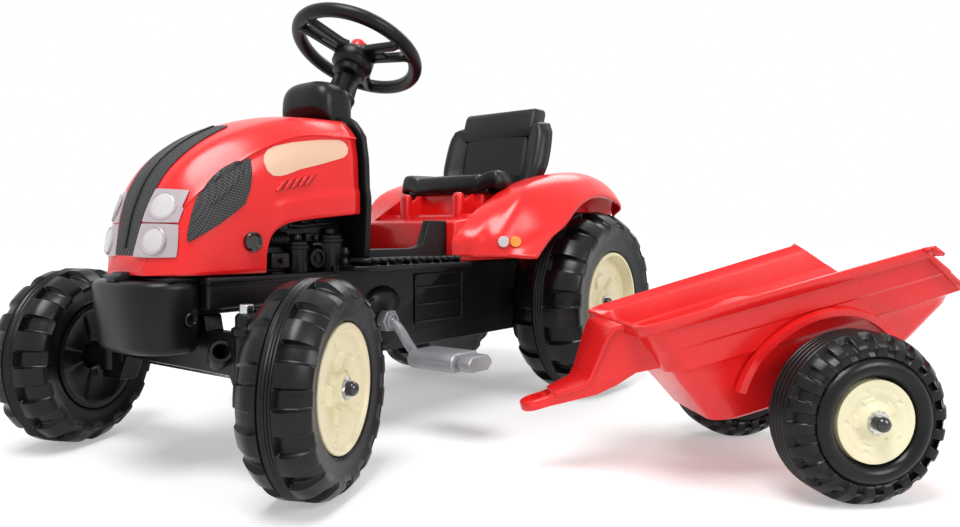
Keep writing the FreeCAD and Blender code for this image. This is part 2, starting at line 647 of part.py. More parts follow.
# Dashboard: the bulkhead behind the bonnet, the cowl and column boss on it and the hinge lugs
def dash():
    body = new_body("dash_cowl")
    back = "dash_back"
    rim_half = [("dash_half + dash_rim", "tub_top"), ("dash_half + dash_rim", "rim_shoulder"),
                ("rim_top_half", "rim_top")]
    pad(body, outline(body, "rim", "YZ_Plane", mirrored(rim_half), back), "dash_thick - hood_gap", False)
    wall_half = [("dash_half", "tub_top"), ("dash_half", "dash_top - 22"), ("dash_half - 26", "dash_top")]
    pad(body, outline(body, "bulkhead", "YZ_Plane", mirrored(wall_half), back), "dash_thick", False)
    hump = [
        ("dash_front - 3", "dash_top - 4"), ("dash_front - 3", "cowl_top - 44"),
        ("cowl_front", "cowl_top - 29"),
        ("cowl_front - 5", "cowl_top - 9"), ("cowl_front - 30", "cowl_top"),
        ("cowl_front - 48", "cowl_top - 4"),
        (back + " - 12", "cowl_top - 30"), (back + " - 6", "dash_top - 4"),
    ]
    pad(body, outline(body, "hump", "XZ_Plane", hump), "2 * cowl_half")
    lean = math.radians(number("column_lean"))
    upright = along(-math.sin(lean), 0, math.cos(lean))
    boss = rod("column_boss", "column_boss", "cowl_top - dash_top",
               at(column_x("dash_top"), "0", "dash_top", upright))
    holes = [
        rod("column_tunnel", "column_radius + column_room", "hub_z",
            at(column_x("tub_top"), "0", "tub_top", upright)),
        rod("hinge_lug_bore", "hinge_pin", "2 * hinge_half",
            at("hinge_x", "-hinge_half", "hinge_z", outward(1))),
    ]
    parts = [body, boss]
    for label, side in SIDES:
        parts.append(block("hinge_lug_" + label, ("dash_front - 1", "hinge_x + hinge_eye"),
                           span(side, "eye_out + hinge_room", "eye_out + hinge_room + hinge_lug"),
                           ("dash_top - 12", "hinge_z + hinge_eye - 2")))
    node(cut("dash_bored", fuse("dash_solid", parts), group("dash_holes", holes)), "dash_cowl")
    node(rod("hinge_rod", "hinge_pin", "2 * hinge_half",
             at("hinge_x", "-hinge_half", "hinge_z", outward(1))),
         "hood_hinge_pin")


# Bonnet: a loft from the dash to the sloping nose; grow gives the same form thicker or thinner.
# Each station: distance from the rear edge, half-widths at foot and shoulder, shoulder height, top width
# and height. The trims' outlines: the grille strip in plan, the lamp from the front, the leaf from the side.
HOOD_STATIONS = (
    (0, 84, 84, 346, 58, 373), (73, 83, 82, 340, 56, 369), (123, 80, 78, 320, 50, 356),
    (168, 76, 70, 292, 42, 332),
    (201, 67, 60, 264, 34, 299), (219, 52, 46, 238, 28, 260), (229, 34, 31, 206, 24, 216),
)
STRIP_OUTLINE = ((113, -24), (253, -20), (253, 20), (113, 24))
LAMP_OUTLINE = ((25, 286), (70, 286), (70, 218), (25, 218))
LEAF_OUTLINE = ((135, 320), (139, 286), (147, 272), (193, 232), (195, 248), (183, 276), (159, 310))


def hood_form(grow):
    rear = number("dash_front + hood_gap")
    floor = number("hood_floor")
    sections = []
    for x, foot, shoulder, shoulder_z, top, top_z in HOOD_STATIONS:
        x += grow if x == HOOD_STATIONS[-1][0] else 0
        half = [(foot + grow, floor), (shoulder + grow, shoulder_z + grow * 0.5),
                (top + grow * 0.6, top_z + grow)]
        ring = half + [(-across, upward) for across, upward in reversed(half)]
        sections.append([Vector(rear + x, across, upward) for across, upward in ring])
    return loft(sections)


def hinge_eyes(outer):
    eyes = []
    width = number("eye_width")
    x, z = number("hinge_x"), number("hinge_z")
    for low in (number("eye_out") - width, -number("eye_out")):
        ring = Part.makeCylinder(number("hinge_eye"), width, Vector(x, low, z), ACROSS)
        web = box((x, x + width), (low, low + width), (z, z + width)).common(outer)
        eyes.append(ring.fuse(web))
    return eyes


def hood():
    outer = hood_form(0)
    skin = hood_form(number("skin_gap + hood_skin")).cut(hood_form(number("skin_gap")))
    rear, floor = number("dash_front + hood_gap"), number("hood_floor")
    cut_x, cut_z = number("engine_cut_x"), number("engine_cut_z")
    wide = 2 * number("dash_half")
    reach = number("mouth_half")
    mouth = box((rear - 5, rear + 1), (-reach, reach), (floor - 20, floor + number("mouth_high")))
    bay = [Vector(rear - 5, -wide, floor - 5), Vector(cut_x, -wide, floor - 5),
           Vector(cut_x, -wide, cut_z - 36),
           Vector(cut_x - 8, -wide, cut_z - 20), Vector(cut_x - 26, -wide, cut_z - 13),
           Vector(rear - 5, -wide, cut_z + 2)]
    through = Vector(0, 2 * wide, 0)
    shell = outer.cut([hood_form(-number("hood_wall")), mouth, prism(bay, through)])
    shell = shell.fuse(hinge_eyes(outer)).removeSplitter()
    half = number("hinge_half")
    pin_hole = Part.makeCylinder(number("hinge_pin + run_gap"), 2 * half,
                                 vector("hinge_x", "-hinge_half", "hinge_z"), ACROSS)
    tools = [pin_hole]
    near, far = number("eye_out + hinge_room / 2"), number("eye_out + hinge_room * 1.5 + hinge_lug")
    for low, high in ((near, far), (-far, -near)):
        tools.append(box((rear - 1, number("hinge_x") + 3), (low, high),
                         (number("dash_top") - 15, number("hinge_z") + 20)))
    for index in range(int(number("vent_count"))):
        x, z = number("vent_x") + index * number("vent_pitch"), number("vent_z")
        slot = [Vector(x, -wide, z), Vector(x + 4, -wide, z), Vector(x - 4, -wide, z + 16),
                Vector(x - 8, -wide, z + 16)]
        tools.append(prism(slot, through))
    node(shaped("hood_shell", shell.cut(tools)), "hood")
    strip = [Vector(rear + x, y, floor) for x, y in STRIP_OUTLINE]
    node(shaped("grille_skin", skin.common(prism(strip, Vector(0, 0, wide)))), "grille_strip")
    plugs = []
    for label, side in SIDES:
        lamp_x = rear + number("lamp_reach")
        front = prism([Vector(lamp_x, across * side, upward) for across, upward in LAMP_OUTLINE],
                      Vector(wide, 0, 0))
        cheek = prism([Vector(rear + x, 0, upward) for x, upward in LEAF_OUTLINE],
                      Vector(0, wide * side, 0))
        node(shaped("lamp_skin_" + label, skin.common(front)), "headlamp_" + label)
        node(shaped("leaf_skin_" + label, skin.common(cheek).cut(front)), "side_grille_" + label)
        plug = Part.makeCylinder(number("plug_radius"), number("plug_depth"),
                                 vector("plug_x", "%d * plug_y" % side, "plug_z"),
                                 Vector(0, side, 0))
        plugs.append(plug.cut(outer))
    node(shaped("plug_pair", Part.Compound(plugs)), "hood_plugs")


# Rear body: the seat deck and a fender over each rear wheel, as one moulding
def fender_edge(y, toe_x, radius, tail_angle):
    level, floor = number("rear_radius"), number("tub_top + board_plate")
    inner = radius - number("fender_skin")

    def on_arc(reach, degrees):
        turn = math.radians(degrees)
        return Vector(reach * math.cos(turn), y, level + reach * math.sin(turn))

    foot = Vector(math.sqrt(inner ** 2 - (floor - level) ** 2), y, floor)
    toe = Vector(toe_x, y, floor)
    knee = toe + Vector(-number("lamp_panel") / 4, 0, number("lamp_panel"))
    brow, tail, back = on_arc(radius, 52), on_arc(radius, tail_angle), on_arc(inner, tail_angle)
    edges = [Part.LineSegment(foot, toe), Part.LineSegment(toe, knee), Part.LineSegment(knee, brow),
             Part.Arc(brow, on_arc(radius, 95), tail), Part.LineSegment(tail, back),
             Part.Arc(back, on_arc(inner, 80), foot)]
    return Part.Wire([edge.toShape() for edge in edges])


def fender():
    wide, tail = number("fender_radius"), number("fender_tail")
    root, crown, edge = number("deck_half - wall"), number("fender_crown"), number("fender_out")
    return Part.makeLoft([
        fender_edge(root, number("deck_front"), wide, tail),
        fender_edge(crown, number("lamp_toe"), wide, tail),
        fender_edge(edge, number("fender_toe"), wide - number("fender_fall"), tail - 12),
    ], True, True)


def rear_body():
    body = new_body("deck")
    profile = [
        ("deck_front", "tub_top"), ("deck_front - 2", "deck_z - 14"), ("deck_front - 8", "deck_z - 8"),
        ("deck_front - 55", "deck_z - 6"), ("deck_front - 62", "deck_z"),
        ("deck_rear + 24", "deck_z"), ("deck_rear + 4", "deck_z - 16"), ("deck_rear", "tub_top"),
    ]
    skin = pad(body, outline(body, "deck_side", "XZ_Plane", profile), "2 * deck_half")
    hollow_from_below(body, skin, "tub_top")
    parts = [body, block("seat_riser", ("0", "seat_front - 24"), ("-seat_half * 0.6", "seat_half * 0.6"),
                         ("deck_z - 1", "seat_low"))]
    for label, side in SIDES:
        form = fender() if side > 0 else fender().mirror(Vector(), ACROSS)
        parts.append(shaped("fender_" + label, form))
        middle_y = "%d * prong_out" % side
        parts.append(block("prong_" + label, ("deck_front - 56 - 2 * prong_half", "deck_front - 56"),
                           (middle_y + " - prong_half", middle_y + " + prong_half"),
                           ("deck_z - 16", "seat_low")))
    solid = fuse("rear_solid", parts)
    node(solid, "rear_body")
    marker_lamps(solid)


# Marker lamps: two on the slanting panel in front of each rear wheel
def marker_lamps(solid):
    run = vector("fender_toe - lamp_toe", "fender_out - fender_crown", "0").normalize()
    facing = Vector(run.y, -run.x, 0)
    start = vector("lamp_toe - lamp_panel / 8", "fender_crown", "tub_top + board_plate + lamp_panel / 2")
    doc.recompute()
    for name, share in (("marker_lamps_clear", 1), ("marker_lamps_amber", 3.2)):
        spot = start + run * number("lamp_radius") * share - facing * number("lamp_depth")
        lamp = Part.makeCylinder(number("lamp_radius"), 2 * number("lamp_depth"), spot, facing)
        pair = Part.Compound([lamp.cut(solid.Shape), lamp.mirror(Vector(), ACROSS).cut(solid.Shape)])
        node(shaped(name + "_pair", pair), name)


# Seat: a crowned cushion with drawn-in sides and two seams, and a leaning bucket back with a head pad
def cushion_form(inset):
    low, thick, half = number("seat_low") - inset, number("seat_thick"), number("seat_half") - inset
    rear, front = number("seat_rear") + inset, number("seat_front") - inset
    sections = []
    for x, wide, crown in ((rear, 0.8, 0.7), (rear + 70, 0.83, 0.9), (front - 26, 1, 1),
                           (front, 0.94, 0.75)):
        top, reach = low + thick * crown, half * wide
        right = [(reach * 0.94, low), (reach, low + thick * 0.35), (reach * 0.95, top - 2),
                 (reach * 0.66, top - 4),
                 (reach * 0.62, top - 8), (reach * 0.58, top - 5)]
        ring = right + [(-across, upward) for across, upward in reversed(right)]
        sections.append([Vector(x, across, upward) for across, upward in ring])
    return loft(sections, True)


# Each station of a back panel: height, lean, half-width, how far the side bolsters stand forward
def back_form(stations):
    panels = []
    for z, lean, half, bolster in stations:
        x = number("seat_rear") - lean
        right = [(x - number("back_thick"), half), (x + bolster, half), (x, half * 0.72)]
        ring = right + [(across, -upward) for across, upward in reversed(right)]
        panels.append([Vector(across, upward, z) for across, upward in ring])
    return loft(panels, True)


def seat():
    cushion = cushion_form(0)
    node(shaped("cushion_form", cushion.cut(cushion_form(number("wall")))), "seat_cushion")
    low, top, wide, pad_half = (number(name) for name in ("seat_low", "back_top", "back_half", "head_half"))
    panel = back_form(((low, 0, wide * 0.84, 14), (low + 70, 14, wide, 24), (top - 44, 28, wide, 18),
                       (top - 26, 34, wide * 0.9, 8)))
    head = back_form(((top - 54, 25, pad_half * 0.94, 6), (top - 40, 26, pad_half, 8),
                      (top - 8, 34, pad_half, 8),
                      (top, 38, pad_half * 0.9, 2)))
    node(shaped("backrest_form", panel.fuse(head).cut(cushion)), "seat_backrest")


# Pedal drive: the bent crank, its chain ring and the pedals, the rear axle with its cog, and the chain
def pitch_radius(teeth):
    return number("chain_pitch / (2 * sin(180 deg / %s))" % teeth)


def sprocket(name, teeth, bore):
    count, pitch = int(number(teeth)), pitch_radius(teeth)
    rise = number("tooth_height") / 2
    corners = []
    for index in range(count):
        for turn, reach in ((-0.3, -rise), (-0.12, rise), (0.12, rise), (0.3, -rise)):
            angle = 2 * math.pi * (index + turn) / count
            corners.append(Vector((pitch + reach) * math.cos(angle), (pitch + reach) * math.sin(angle), 0))
    thick = number("tooth_plate")
    plate = prism(corners, Vector(0, 0, thick)).translated(Vector(0, 0, -thick / 2))
    boss = Part.makeCylinder(number(bore + " + bush_wall"), 2 * number("bush_out"),
                             -UP * number("bush_out"))
    hole = Part.makeCylinder(number(bore), 4 * number("bush_out"), -UP * 2 * number("bush_out"))
    return shaped(name + "_plate", plate.fuse(boss).cut(hole))


def drive():
    level = "rear_radius"
    length = "(rear_track + 2 * (rear_disc_out + axle_end))"
    node(rod("axle_rod", "axle_radius", length, at("0", "-%s / 2" % length, level, outward(1))),
         "rear_axle")
    node(sprocket("rear_cog", "cog_teeth", "axle_radius"), "rear_cog",
         at("0", "chain_y", level, outward(1)))
    node(sprocket("chain_ring", "ring_teeth", "crank_rod"), "chain_ring",
         at("crank_x", "chain_y", level, outward(1)))
    crank_turn = turned_about(vector("crank_x", "0", level), ACROSS, number("crank_rest"))
    parts = [rod("crank_shaft", "crank_rod", "2 * crank_out",
                 at("crank_x", "-crank_out", level, outward(1)))]
    for label, side in SIDES:
        foot_x, y = "crank_x - %d * crank_radius" % side, "%d * crank_out" % side
        parts.append(rod("crank_arm_" + label, "crank_rod", "crank_radius",
                         at("crank_x", y, level, along(-side, 0, 0))))
        parts.append(rod("crank_spindle_" + label, "crank_rod",
                         "pedal_in - crank_out + pedal_length * 0.93",
                         at(foot_x, y, level, outward(side))))
        parts.append(ball("crank_elbow_" + label, "crank_rod", at("crank_x", y, level)))
        parts.append(ball("crank_foot_" + label, "crank_rod", at(foot_x, y, level)))
        pedal(label, side, crank_turn.multVec(vector(foot_x, "0", level)))
    node(fuse("crank_solid", parts), "crank", crank_turn)
    chain()


def pedal(label, side, spot):
    body = new_body("pedal_" + label)
    depth, thick = "pedal_depth / 2", "pedal_thick / 2"
    tread = mirrored([(depth + " - 8", "-" + thick), (depth, "-%s + 5" % thick), (depth, thick + " - 5"),
                      (depth + " - 8", thick)])
    pad(body, outline(body, "pedal_side_" + label, "XZ_Plane", tread), "pedal_length")
    body.Placement = at("0", "%d * (pedal_in + pedal_length / 2)" % side, "0")
    bore = rod("pedal_bore_" + label, "crank_rod + run_gap", "pedal_length * 0.95",
               at("0", "%d * pedal_in" % side, "0", outward(side)))
    node(cut("pedal_bored_" + label, body, bore), "pedal_" + label, Placement(spot, Rotation()))


def chain():
    small, large = pitch_radius("cog_teeth"), pitch_radius("ring_teeth")
    reach, level, y = number("crank_x"), number("rear_radius"), number("chain_y")
    lean = math.asin((large - small) / reach)

    def tangent(extra):
        rise = Vector(-math.sin(lean), 0, math.cos(lean))
        back = Vector(0, 0, level) + rise * (small + extra)
        front = Vector(reach, 0, level) + rise * (large + extra)
        return back, front

    def loop(extra):
        back, front = tangent(extra)
        low_back, low_front = (Vector(point.x, 0, 2 * level - point.z) for point in (back, front))
        nose = Vector(reach + large + extra, 0, level)
        edges = [Part.LineSegment(back, front), Part.Arc(front, nose, low_front),
                 Part.LineSegment(low_front, low_back),
                 Part.Arc(low_back, Vector(-small - extra, 0, level), back)]
        return Part.Face(Part.Wire([edge.toShape() for edge in edges]))

    half = number("link_height") / 2
    band = loop(half).cut(loop(-half))
    gap, plate = number("tooth_plate / 2 + link_room"), number("link_plate")
    links = []
    for low in (gap, -gap - plate):
        links.append(band.translated(Vector(0, y + low, 0)).extrude(Vector(0, plate, 0)))
    back, front = tangent(0)
    count = int((front - back).Length / (2 * number("chain_pitch")))
    for index in range(1, count - 1):
        spot = back + (front - back) * ((index + 0.5) / count)
        for height in (spot.z, 2 * level - spot.z):
            corners = []
            for turn in range(0, 360, 60):
                corner = Rotation(ACROSS, turn).multVec(Vector(number("roller"), 0, 0))
                corners.append(corner + Vector(spot.x, y - gap, height))
            links.append(prism(corners, Vector(0, 2 * gap, 0)))
    node(shaped("chain_loop", links[0].fuse(links[1:])), "drive_chain")


def tow_hitch():
    body = new_body("tow_hitch")
    level = "tub_bottom + hitch_rise"
    plan = [("tub_rear", "40"), ("hitch_x", "2 * hitch_pin"), ("hitch_x - 2 * hitch_pin", "hitch_pin")]
    plan += [(across, "-(%s)" % upward) for across, upward in reversed(plan)]
    pad(body, outline(body, "hitch_plan", "XY_Plane", plan, level), "hitch_plate", False)
    post = rod("hitch_post", "hitch_pin", "hitch_height + hitch_plate / 2",
               at("hitch_x", "0", level + " + hitch_plate / 2"))
    foot = block("hitch_foot", ("tub_rear - 6", "tub_rear"), ("-40", "40"), (level, level + " + 44"))
    node(fuse("hitch_solid", [body, post, foot]), "tow_hitch")


# Trailer, built level about its own axle and then turned, tipped and placed
def trailer_axle_place():
    return at("trailer_x", "trailer_y", "trailer_radius", Rotation(UP, number("trailer_turn")))


def tray(back, fore, back_half, fore_half, z):
    corner = 16
    right = [(back, back_half - corner), (back + corner, back_half), (fore - corner, fore_half),
             (fore, fore_half - corner)]
    return [Vector(x, y, z) for x, y in right] + [Vector(x, -y, z) for x, y in reversed(right)]


def bed_form(grow):
    front, rear, tail = number("bed_front"), number("bed_rear"), number("tail_rear")
    half, nose = number("bed_half"), number("bed_nose_half")
    low, ledge, high = number("bed_low"), number("bed_ledge"), number("bed_high")
    return loft([
        tray(rear + 46 - grow, front - 52 + grow, half - 36 + grow, nose - 22 + grow, low - min(grow, 0)),
        tray(tail - grow, front - 26 + grow, half - 20 + grow, nose - 10 + grow, ledge),
        tray(rear - grow, front + grow, half + grow, nose + grow, high),
    ], True)


def drawbar():
    front, high, nose = number("bed_front"), number("bed_high"), number("bed_nose_half")
    tip, half = number("draw_tip"), number("draw_half")
    low, top = number("draw_z - draw_thick / 2"), number("draw_z + draw_thick / 2")
    right = [(front - 40, nose - 16), (tip - 12, half), (tip, half - 8)]
    plan = [Vector(x, y, 0) for x, y in right] + [Vector(x, -y, 0) for x, y in reversed(right)]
    web = [(front - 44, high - 30), (front + 4, high), (front + 46, top + 7), (tip - 2.4 * half, top),
           (tip + 1, top),
           (tip + 1, low), (tip - 2.4 * half, low), (front + 44, low - 2), (front - 8, high - 60)]
    profile = prism([Vector(x, -nose, z) for x, z in web], Vector(0, 2 * nose, 0))
    return prism(plan, Vector(0, 0, 2 * high)).common(profile)


def trailer():
    rolling = trailer_axle_place()
    tipped = rolling.multiply(Placement(Vector(), Rotation(ACROSS, number("trailer_nose_down"))))
    drop = number("trailer_radius")
    front, rear, high, low = (number(name) for name in ("bed_front", "bed_rear", "bed_high", "bed_low"))
    half, nose, lip = number("bed_half"), number("bed_nose_half"), number("bed_flange")
    inner = bed_form(-number("bed_wall"))
    mouth = inner.translated(Vector(0, 0, 1)).common(box((rear, front), (-half, half),
                                                         (high - 2, high + 2)))
    flange = prism(tray(rear - lip, front + lip, half + lip, nose + lip, high - 5), Vector(0, 0, 5))
    tail = box((number("tail_rear") - 20, rear + 30), (14 - half, half - 14),
               (number("bed_ledge") + 2, high + 20))
    reach = number("trailer_track / 2 - trailer_hub_in - side_gap")
    tube = Part.makeCylinder(number("hub_radius"), 2 * reach, Vector(0, -reach, drop), ACROSS)
    saddle = box((-22, 22), (30 - half, half - 30), (drop, low + 4))
    eye = Part.makeCylinder(number("hitch_pin + tow_gap"), 40,
                            Vector(number("draw_tip - 18"), 0, number("draw_z") - 20), UP)
    journal = Part.makeCylinder(number("axle_radius + run_gap"), 4 * half, Vector(0, -2 * half, drop),
                                ACROSS)
    whole = bed_form(0).fuse([flange, drawbar(), tube, saddle]).cut([inner, mouth, tail, eye,
                                                                     journal]).removeSplitter()
    whole.translate(Vector(0, 0, -drop))
    node(shaped("bed_shell", whole), "trailer_bed", tipped)
    length = "(trailer_track + 2 * (trailer_disc_out + axle_end))"
    node(rod("trailer_rod", "axle_radius", length, at("0", "-%s / 2" % length, "0", outward(1))),
         "trailer_axle", rolling)


for make in (chassis, bushes, front_axle, knuckles, tie_rod, steering, bumper, engine, dash, hood,
             rear_body, seat,
             drive, tow_hitch, wheels, trailer):
    make()
doc.recompute()

# The origin is the middle of the set's footprint, on the floor
extent = Part.Compound([thing.Shape for thing in nodes]).optimalBoundingBox(True, False)
middle = Vector((extent.XMin + extent.XMax) / 2, (extent.YMin + extent.YMax) / 2, extent.ZMin)
for thing in nodes:
    thing.Placement = Placement(-middle, Rotation()).multiply(thing.Placement)
doc.recompute()

for thing in doc.Objects:
    faults = [word for word in thing.State if word in ("Invalid", "Error")]
    if faults:
        raise RuntimeError("%s is %s" % (thing.Name, faults))
os.makedirs("parts", exist_ok=True)
for thing in nodes:
    if thing.Shape.isNull() or not thing.Shape.isValid():
        raise RuntimeError("%s has no sound shape" % thing.Label)
    thing.Shape.exportStep("parts/%s.step" % thing.Label)
print("nodes", len(nodes))
print("origin", [round(part, 3) for part in middle])
print("size", [round(length) for length in (extent.XLength, extent.YLength, extent.ZLength)])
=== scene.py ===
import bmesh
import bpy
import json
import math
from mathutils import Matrix, Vector
from mathutils.bvhtree import BVHTree


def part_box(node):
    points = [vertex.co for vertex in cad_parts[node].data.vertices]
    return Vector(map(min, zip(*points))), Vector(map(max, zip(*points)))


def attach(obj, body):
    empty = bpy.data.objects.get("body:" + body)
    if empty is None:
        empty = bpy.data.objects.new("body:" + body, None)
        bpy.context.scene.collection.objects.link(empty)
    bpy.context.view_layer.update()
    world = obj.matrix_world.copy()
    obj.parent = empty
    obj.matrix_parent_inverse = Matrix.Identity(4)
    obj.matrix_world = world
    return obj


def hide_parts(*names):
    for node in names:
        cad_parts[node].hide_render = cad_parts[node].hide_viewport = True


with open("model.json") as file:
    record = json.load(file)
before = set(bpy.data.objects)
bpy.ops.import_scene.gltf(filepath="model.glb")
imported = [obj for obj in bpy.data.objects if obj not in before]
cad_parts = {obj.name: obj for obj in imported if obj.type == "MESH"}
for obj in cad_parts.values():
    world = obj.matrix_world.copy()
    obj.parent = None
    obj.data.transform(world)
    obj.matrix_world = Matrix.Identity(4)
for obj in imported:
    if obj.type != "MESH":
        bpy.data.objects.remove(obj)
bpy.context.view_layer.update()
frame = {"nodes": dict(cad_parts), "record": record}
sides = (("left", 1), ("right", -1))
mm = 0.001
shift = Matrix.Translation


def centreOf(node):
    low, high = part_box(node)
    return (low + high) / 2


# The named settings of a piece, in that order
def picked(settings, names):
    return [settings[name] for name in names.split()]


# Pieces are drawn in millimetres from the rear axle, forward, left and up, and put into the frame when they are done
rearAxle = centreOf("rear_axle")
toFrame = shift((rearAxle.x, rearAxle.y, 0)) @ Matrix.Scale(mm, 4)


def turn(degrees, axis):
    return Matrix.Rotation(math.radians(degrees), 4, axis)


# Materials
class Sock:
    def __init__(self, shade, socket):
        self.shade = shade
        self.socket = socket

    def sum(self, operation, first, second):
        return self.shade.make("ShaderNodeMath", {"operation": operation}, {0: first, 1: second})

    def __add__(self, other):
        return self.sum("ADD", self, other)

    def __sub__(self, other):
        return self.sum("SUBTRACT", self, other)

    def __mul__(self, other):
        return self.sum("MULTIPLY", self, other)

    def __truediv__(self, other):
        return self.sum("DIVIDE", self, other)

    def __pow__(self, other):
        return self.sum("POWER", self, other)

    def __radd__(self, other):
        return self.sum("ADD", other, self)

    def __rsub__(self, other):
        return self.sum("SUBTRACT", other, self)

    def __rmul__(self, other):
        return self.sum("MULTIPLY", other, self)

    def __rtruediv__(self, other):
        return self.sum("DIVIDE", other, self)

    def wave(self, pitch):
        return self.sum("SINE", self * (2 * math.pi / pitch), 0)


class Shade:
    def __init__(self, name):
        self.material = bpy.data.materials.new(name)
        self.material.use_nodes = True
        self.tree = self.material.node_tree
        self.surface = self.tree.nodes["Principled BSDF"]
        self.place = self.make("ShaderNodeTexCoord", {}, {}, "Object")

    def feed(self, socket, value):
        if isinstance(value, Sock):
            self.tree.links.new(value.socket, socket)
        else:
            socket.default_value = value

    def make(self, kind, settings, inputs, output=0):
        node = self.tree.nodes.new(kind)
        for key, value in settings.items():
            setattr(node, key, value)
        for key, value in inputs.items():
            self.feed(node.inputs[key], value)
        return Sock(self, node.outputs[output])

    def noise(self, scale, detail=2.0):
        return self.make("ShaderNodeTexNoise", {}, {"Vector": self.place, "Scale": scale, "Detail": detail}, "Fac")

    def axis(self, name):
        return self.make("ShaderNodeSeparateXYZ", {}, {0: self.place}, name)

    def band(self, value, low, high):
        settings = {"interpolation_type": "SMOOTHSTEP"}
        return self.make("ShaderNodeMapRange", settings, {0: value, 1: low, 2: high})

    def mix(self, share, first, second):
        return self.make("ShaderNodeMix", {"data_type": "RGBA"}, {0: share, 6: first, 7: second}, 2)

    def bump(self, height, distance):
        return self.make("ShaderNodeBump", {}, {"Height": height, "Distance": distance, "Strength": 1.0})

    def finish(self, **inputs):
        for key, value in inputs.items():
            self.feed(self.surface.inputs[key.replace("_", " ")], value)
        return self.material


def tone(red, green, blue):
    def linear(part):
        part /= 255
        return part / 12.92 if part < 0.04045 else ((part + 0.055) / 1.055) ** 2.4
    return (linear(red), linear(green), linear(blue), 1)


# Moulded plastic: slow change of tone, fine grain of the mould and a few rubbed places
plasticShape = {"cloudRough": 0.1, "grainRough": 0.06, "grainDetail": 4.0, "rubbedScale": 6, "rubbedDetail": 6.0,
                "rubbedFrom": 0.56, "rubbedTo": 0.74, "coatRough": 0.08}


def plastic(name, look):
    shape = plasticShape
    shade = Shade(name)
    cloud = shade.noise(look["cloud"])
    grain = shade.noise(look["grain"], shape["grainDetail"])
    patches = shade.noise(look["cloud"] * shape["rubbedScale"], shape["rubbedDetail"])
    rubbed = shade.band(patches, shape["rubbedFrom"], shape["rubbedTo"])
    rough = look["rough"] + (cloud - 0.5) * shape["cloudRough"] + (grain - 0.5) * shape["grainRough"]
    height = grain * look["grainHeight"] + cloud * look["cloudHeight"]
    return shade.finish(Base_Color=shade.mix(cloud, tone(*look["deep"]), tone(*look["pale"])),
                        Roughness=rough + rubbed * look["rubbed"], Normal=shade.bump(height, mm),
                        Coat_Weight=look["coat"], Coat_Roughness=shape["coatRough"], Metallic=look["metal"],
                        Specular_IOR_Level=look["gloss"])


# One row for each look, in the order of these settings; tones run from 0 to 255
lookKeys = "slot deep pale rough coat gloss metal cloud grain grainHeight cloudHeight rubbed".split()
plasticLooks = {
    "red": ("red_plastic", (214, 22, 26), (230, 32, 32), 0.26, 0.1, 0.4, 0, 9, 900, 0.03, 0.6, 0.05),
    "black": ("black_plastic", (8, 8, 10), (14, 15, 17), 0.33, 0, 0.24, 0, 14, 1400, 0.06, 0.5, 0.07),
    "tyre": ("tyre_plastic", (6, 7, 9), (12, 13, 15), 0.28, 0, 0.26, 0, 18, 1100, 0.05, 1, 0.08),
    "seat": ("black_plastic", (11, 11, 12), (19, 19, 21), 0.34, 0, 0.28, 0, 12, 700, 0.12, 0.6, 0.06),
    "cream": ("cream_plastic", (212, 203, 166), (228, 221, 188), 0.4, 0.05, 0.5, 0, 30, 900, 0.04, 0.8, 0.06),
    "silver": ("grey_plastic", (122, 125, 129), (152, 154, 158), 0.34, 0.1, 0.5, 0.25, 26, 1300, 0.05, 0.7, 0.08),
    "steel": ("bare_steel", (176, 178, 180), (214, 215, 216), 0.24, 0, 0.5, 1, 60, 1600, 0.03, 0.3, 0.1),
    "darkSteel": ("black_steel", (40, 41, 43), (66, 67, 70), 0.38, 0, 0.5, 0.8, 50, 1500, 0.05, 0.3, 0.12),
    "lampPanel": ("lamp_plastic", (160, 150, 155), (182, 171, 176), 0.26, 0.2, 0.5, 0, 25, 800, 0.02, 0.4, 0.05),
    "lens": ("clear_lens", (186, 181, 184), (206, 202, 205), 0.12, 0.6, 0.5, 0, 40, 600, 0.02, 0.2, 0.04),
    "amber": ("amber_lens", (236, 128, 14), (250, 160, 36), 0.12, 0.8, 0.5, 0, 60, 600, 0.02, 0.2, 0.04),
    "cap": ("cap_plastic", (10, 10, 12), (20, 20, 23), 0.14, 0.5, 0.5, 0, 40, 900, 0.02, 0.2, 0.05),
    "plate": ("cream_plastic", (214, 174, 146), (224, 188, 162), 0.34, 0.2, 0.5, 0, 20, 900, 0.02, 0.2, 0.04),
    # shade: a deeper red, painted into the bonnet's vent slots as painted shade
    "shade": ("red_plastic", (118, 10, 14), (134, 14, 18), 0.5, 0, 0.5, 0, 30, 900, 0.05, 0.2, 0.05),
}
looks, slots = {}, {}
for name, row in plasticLooks.items():
    plasticLook = dict(zip(lookKeys, row))
    looks[name], slots[name] = plastic(name, plasticLook), plasticLook["slot"]


# Moulded mesh of the grilles: rows of small diamonds, staggered, with the holes between the bars painted near black
# as painted shade
meshLook = {"pitch": 5, "web": (-0.1, 0.45), "hole": (12, 12, 13), "deep": (50, 51, 53), "pale": (72, 73, 75),
            "dust": 160, "dustDetail": 4.0, "height": 0.6}


def meshed(name, look):
    shade = Shade(name)
    pitch = look["pitch"] * mm
    along = shade.axis("X") + shade.axis("Y") * 0.4 - shade.axis("Z") * 0.5
    upward = shade.axis("Z") + shade.axis("Y") * 0.8
    web = shade.band((along + upward).wave(pitch) * (along - upward).wave(pitch), *look["web"])
    dust = shade.noise(look["dust"], look["dustDetail"])
    bars = shade.mix(dust, tone(*look["deep"]), tone(*look["pale"]))
    # the holes take the hole colour, which is painted shade; the bars take the charcoal tones
    return shade.finish(Base_Color=shade.mix(web, tone(*look["hole"]), bars),
                        Roughness=0.62 - web * 0.22 + dust * 0.1, Normal=shade.bump(web, look["height"] * mm))


looks["mesh"], slots["mesh"] = meshed("mesh", meshLook), "grille_plastic"
nodeBody = {node: body for body, members in frame["record"]["behaviour"]["bodies"].items() for node in members}
print("materials", len(looks))


# Modelling
def linked(name, data):
    thing = bpy.data.objects.new(name, data)
    bpy.context.scene.collection.objects.link(thing)
    return thing


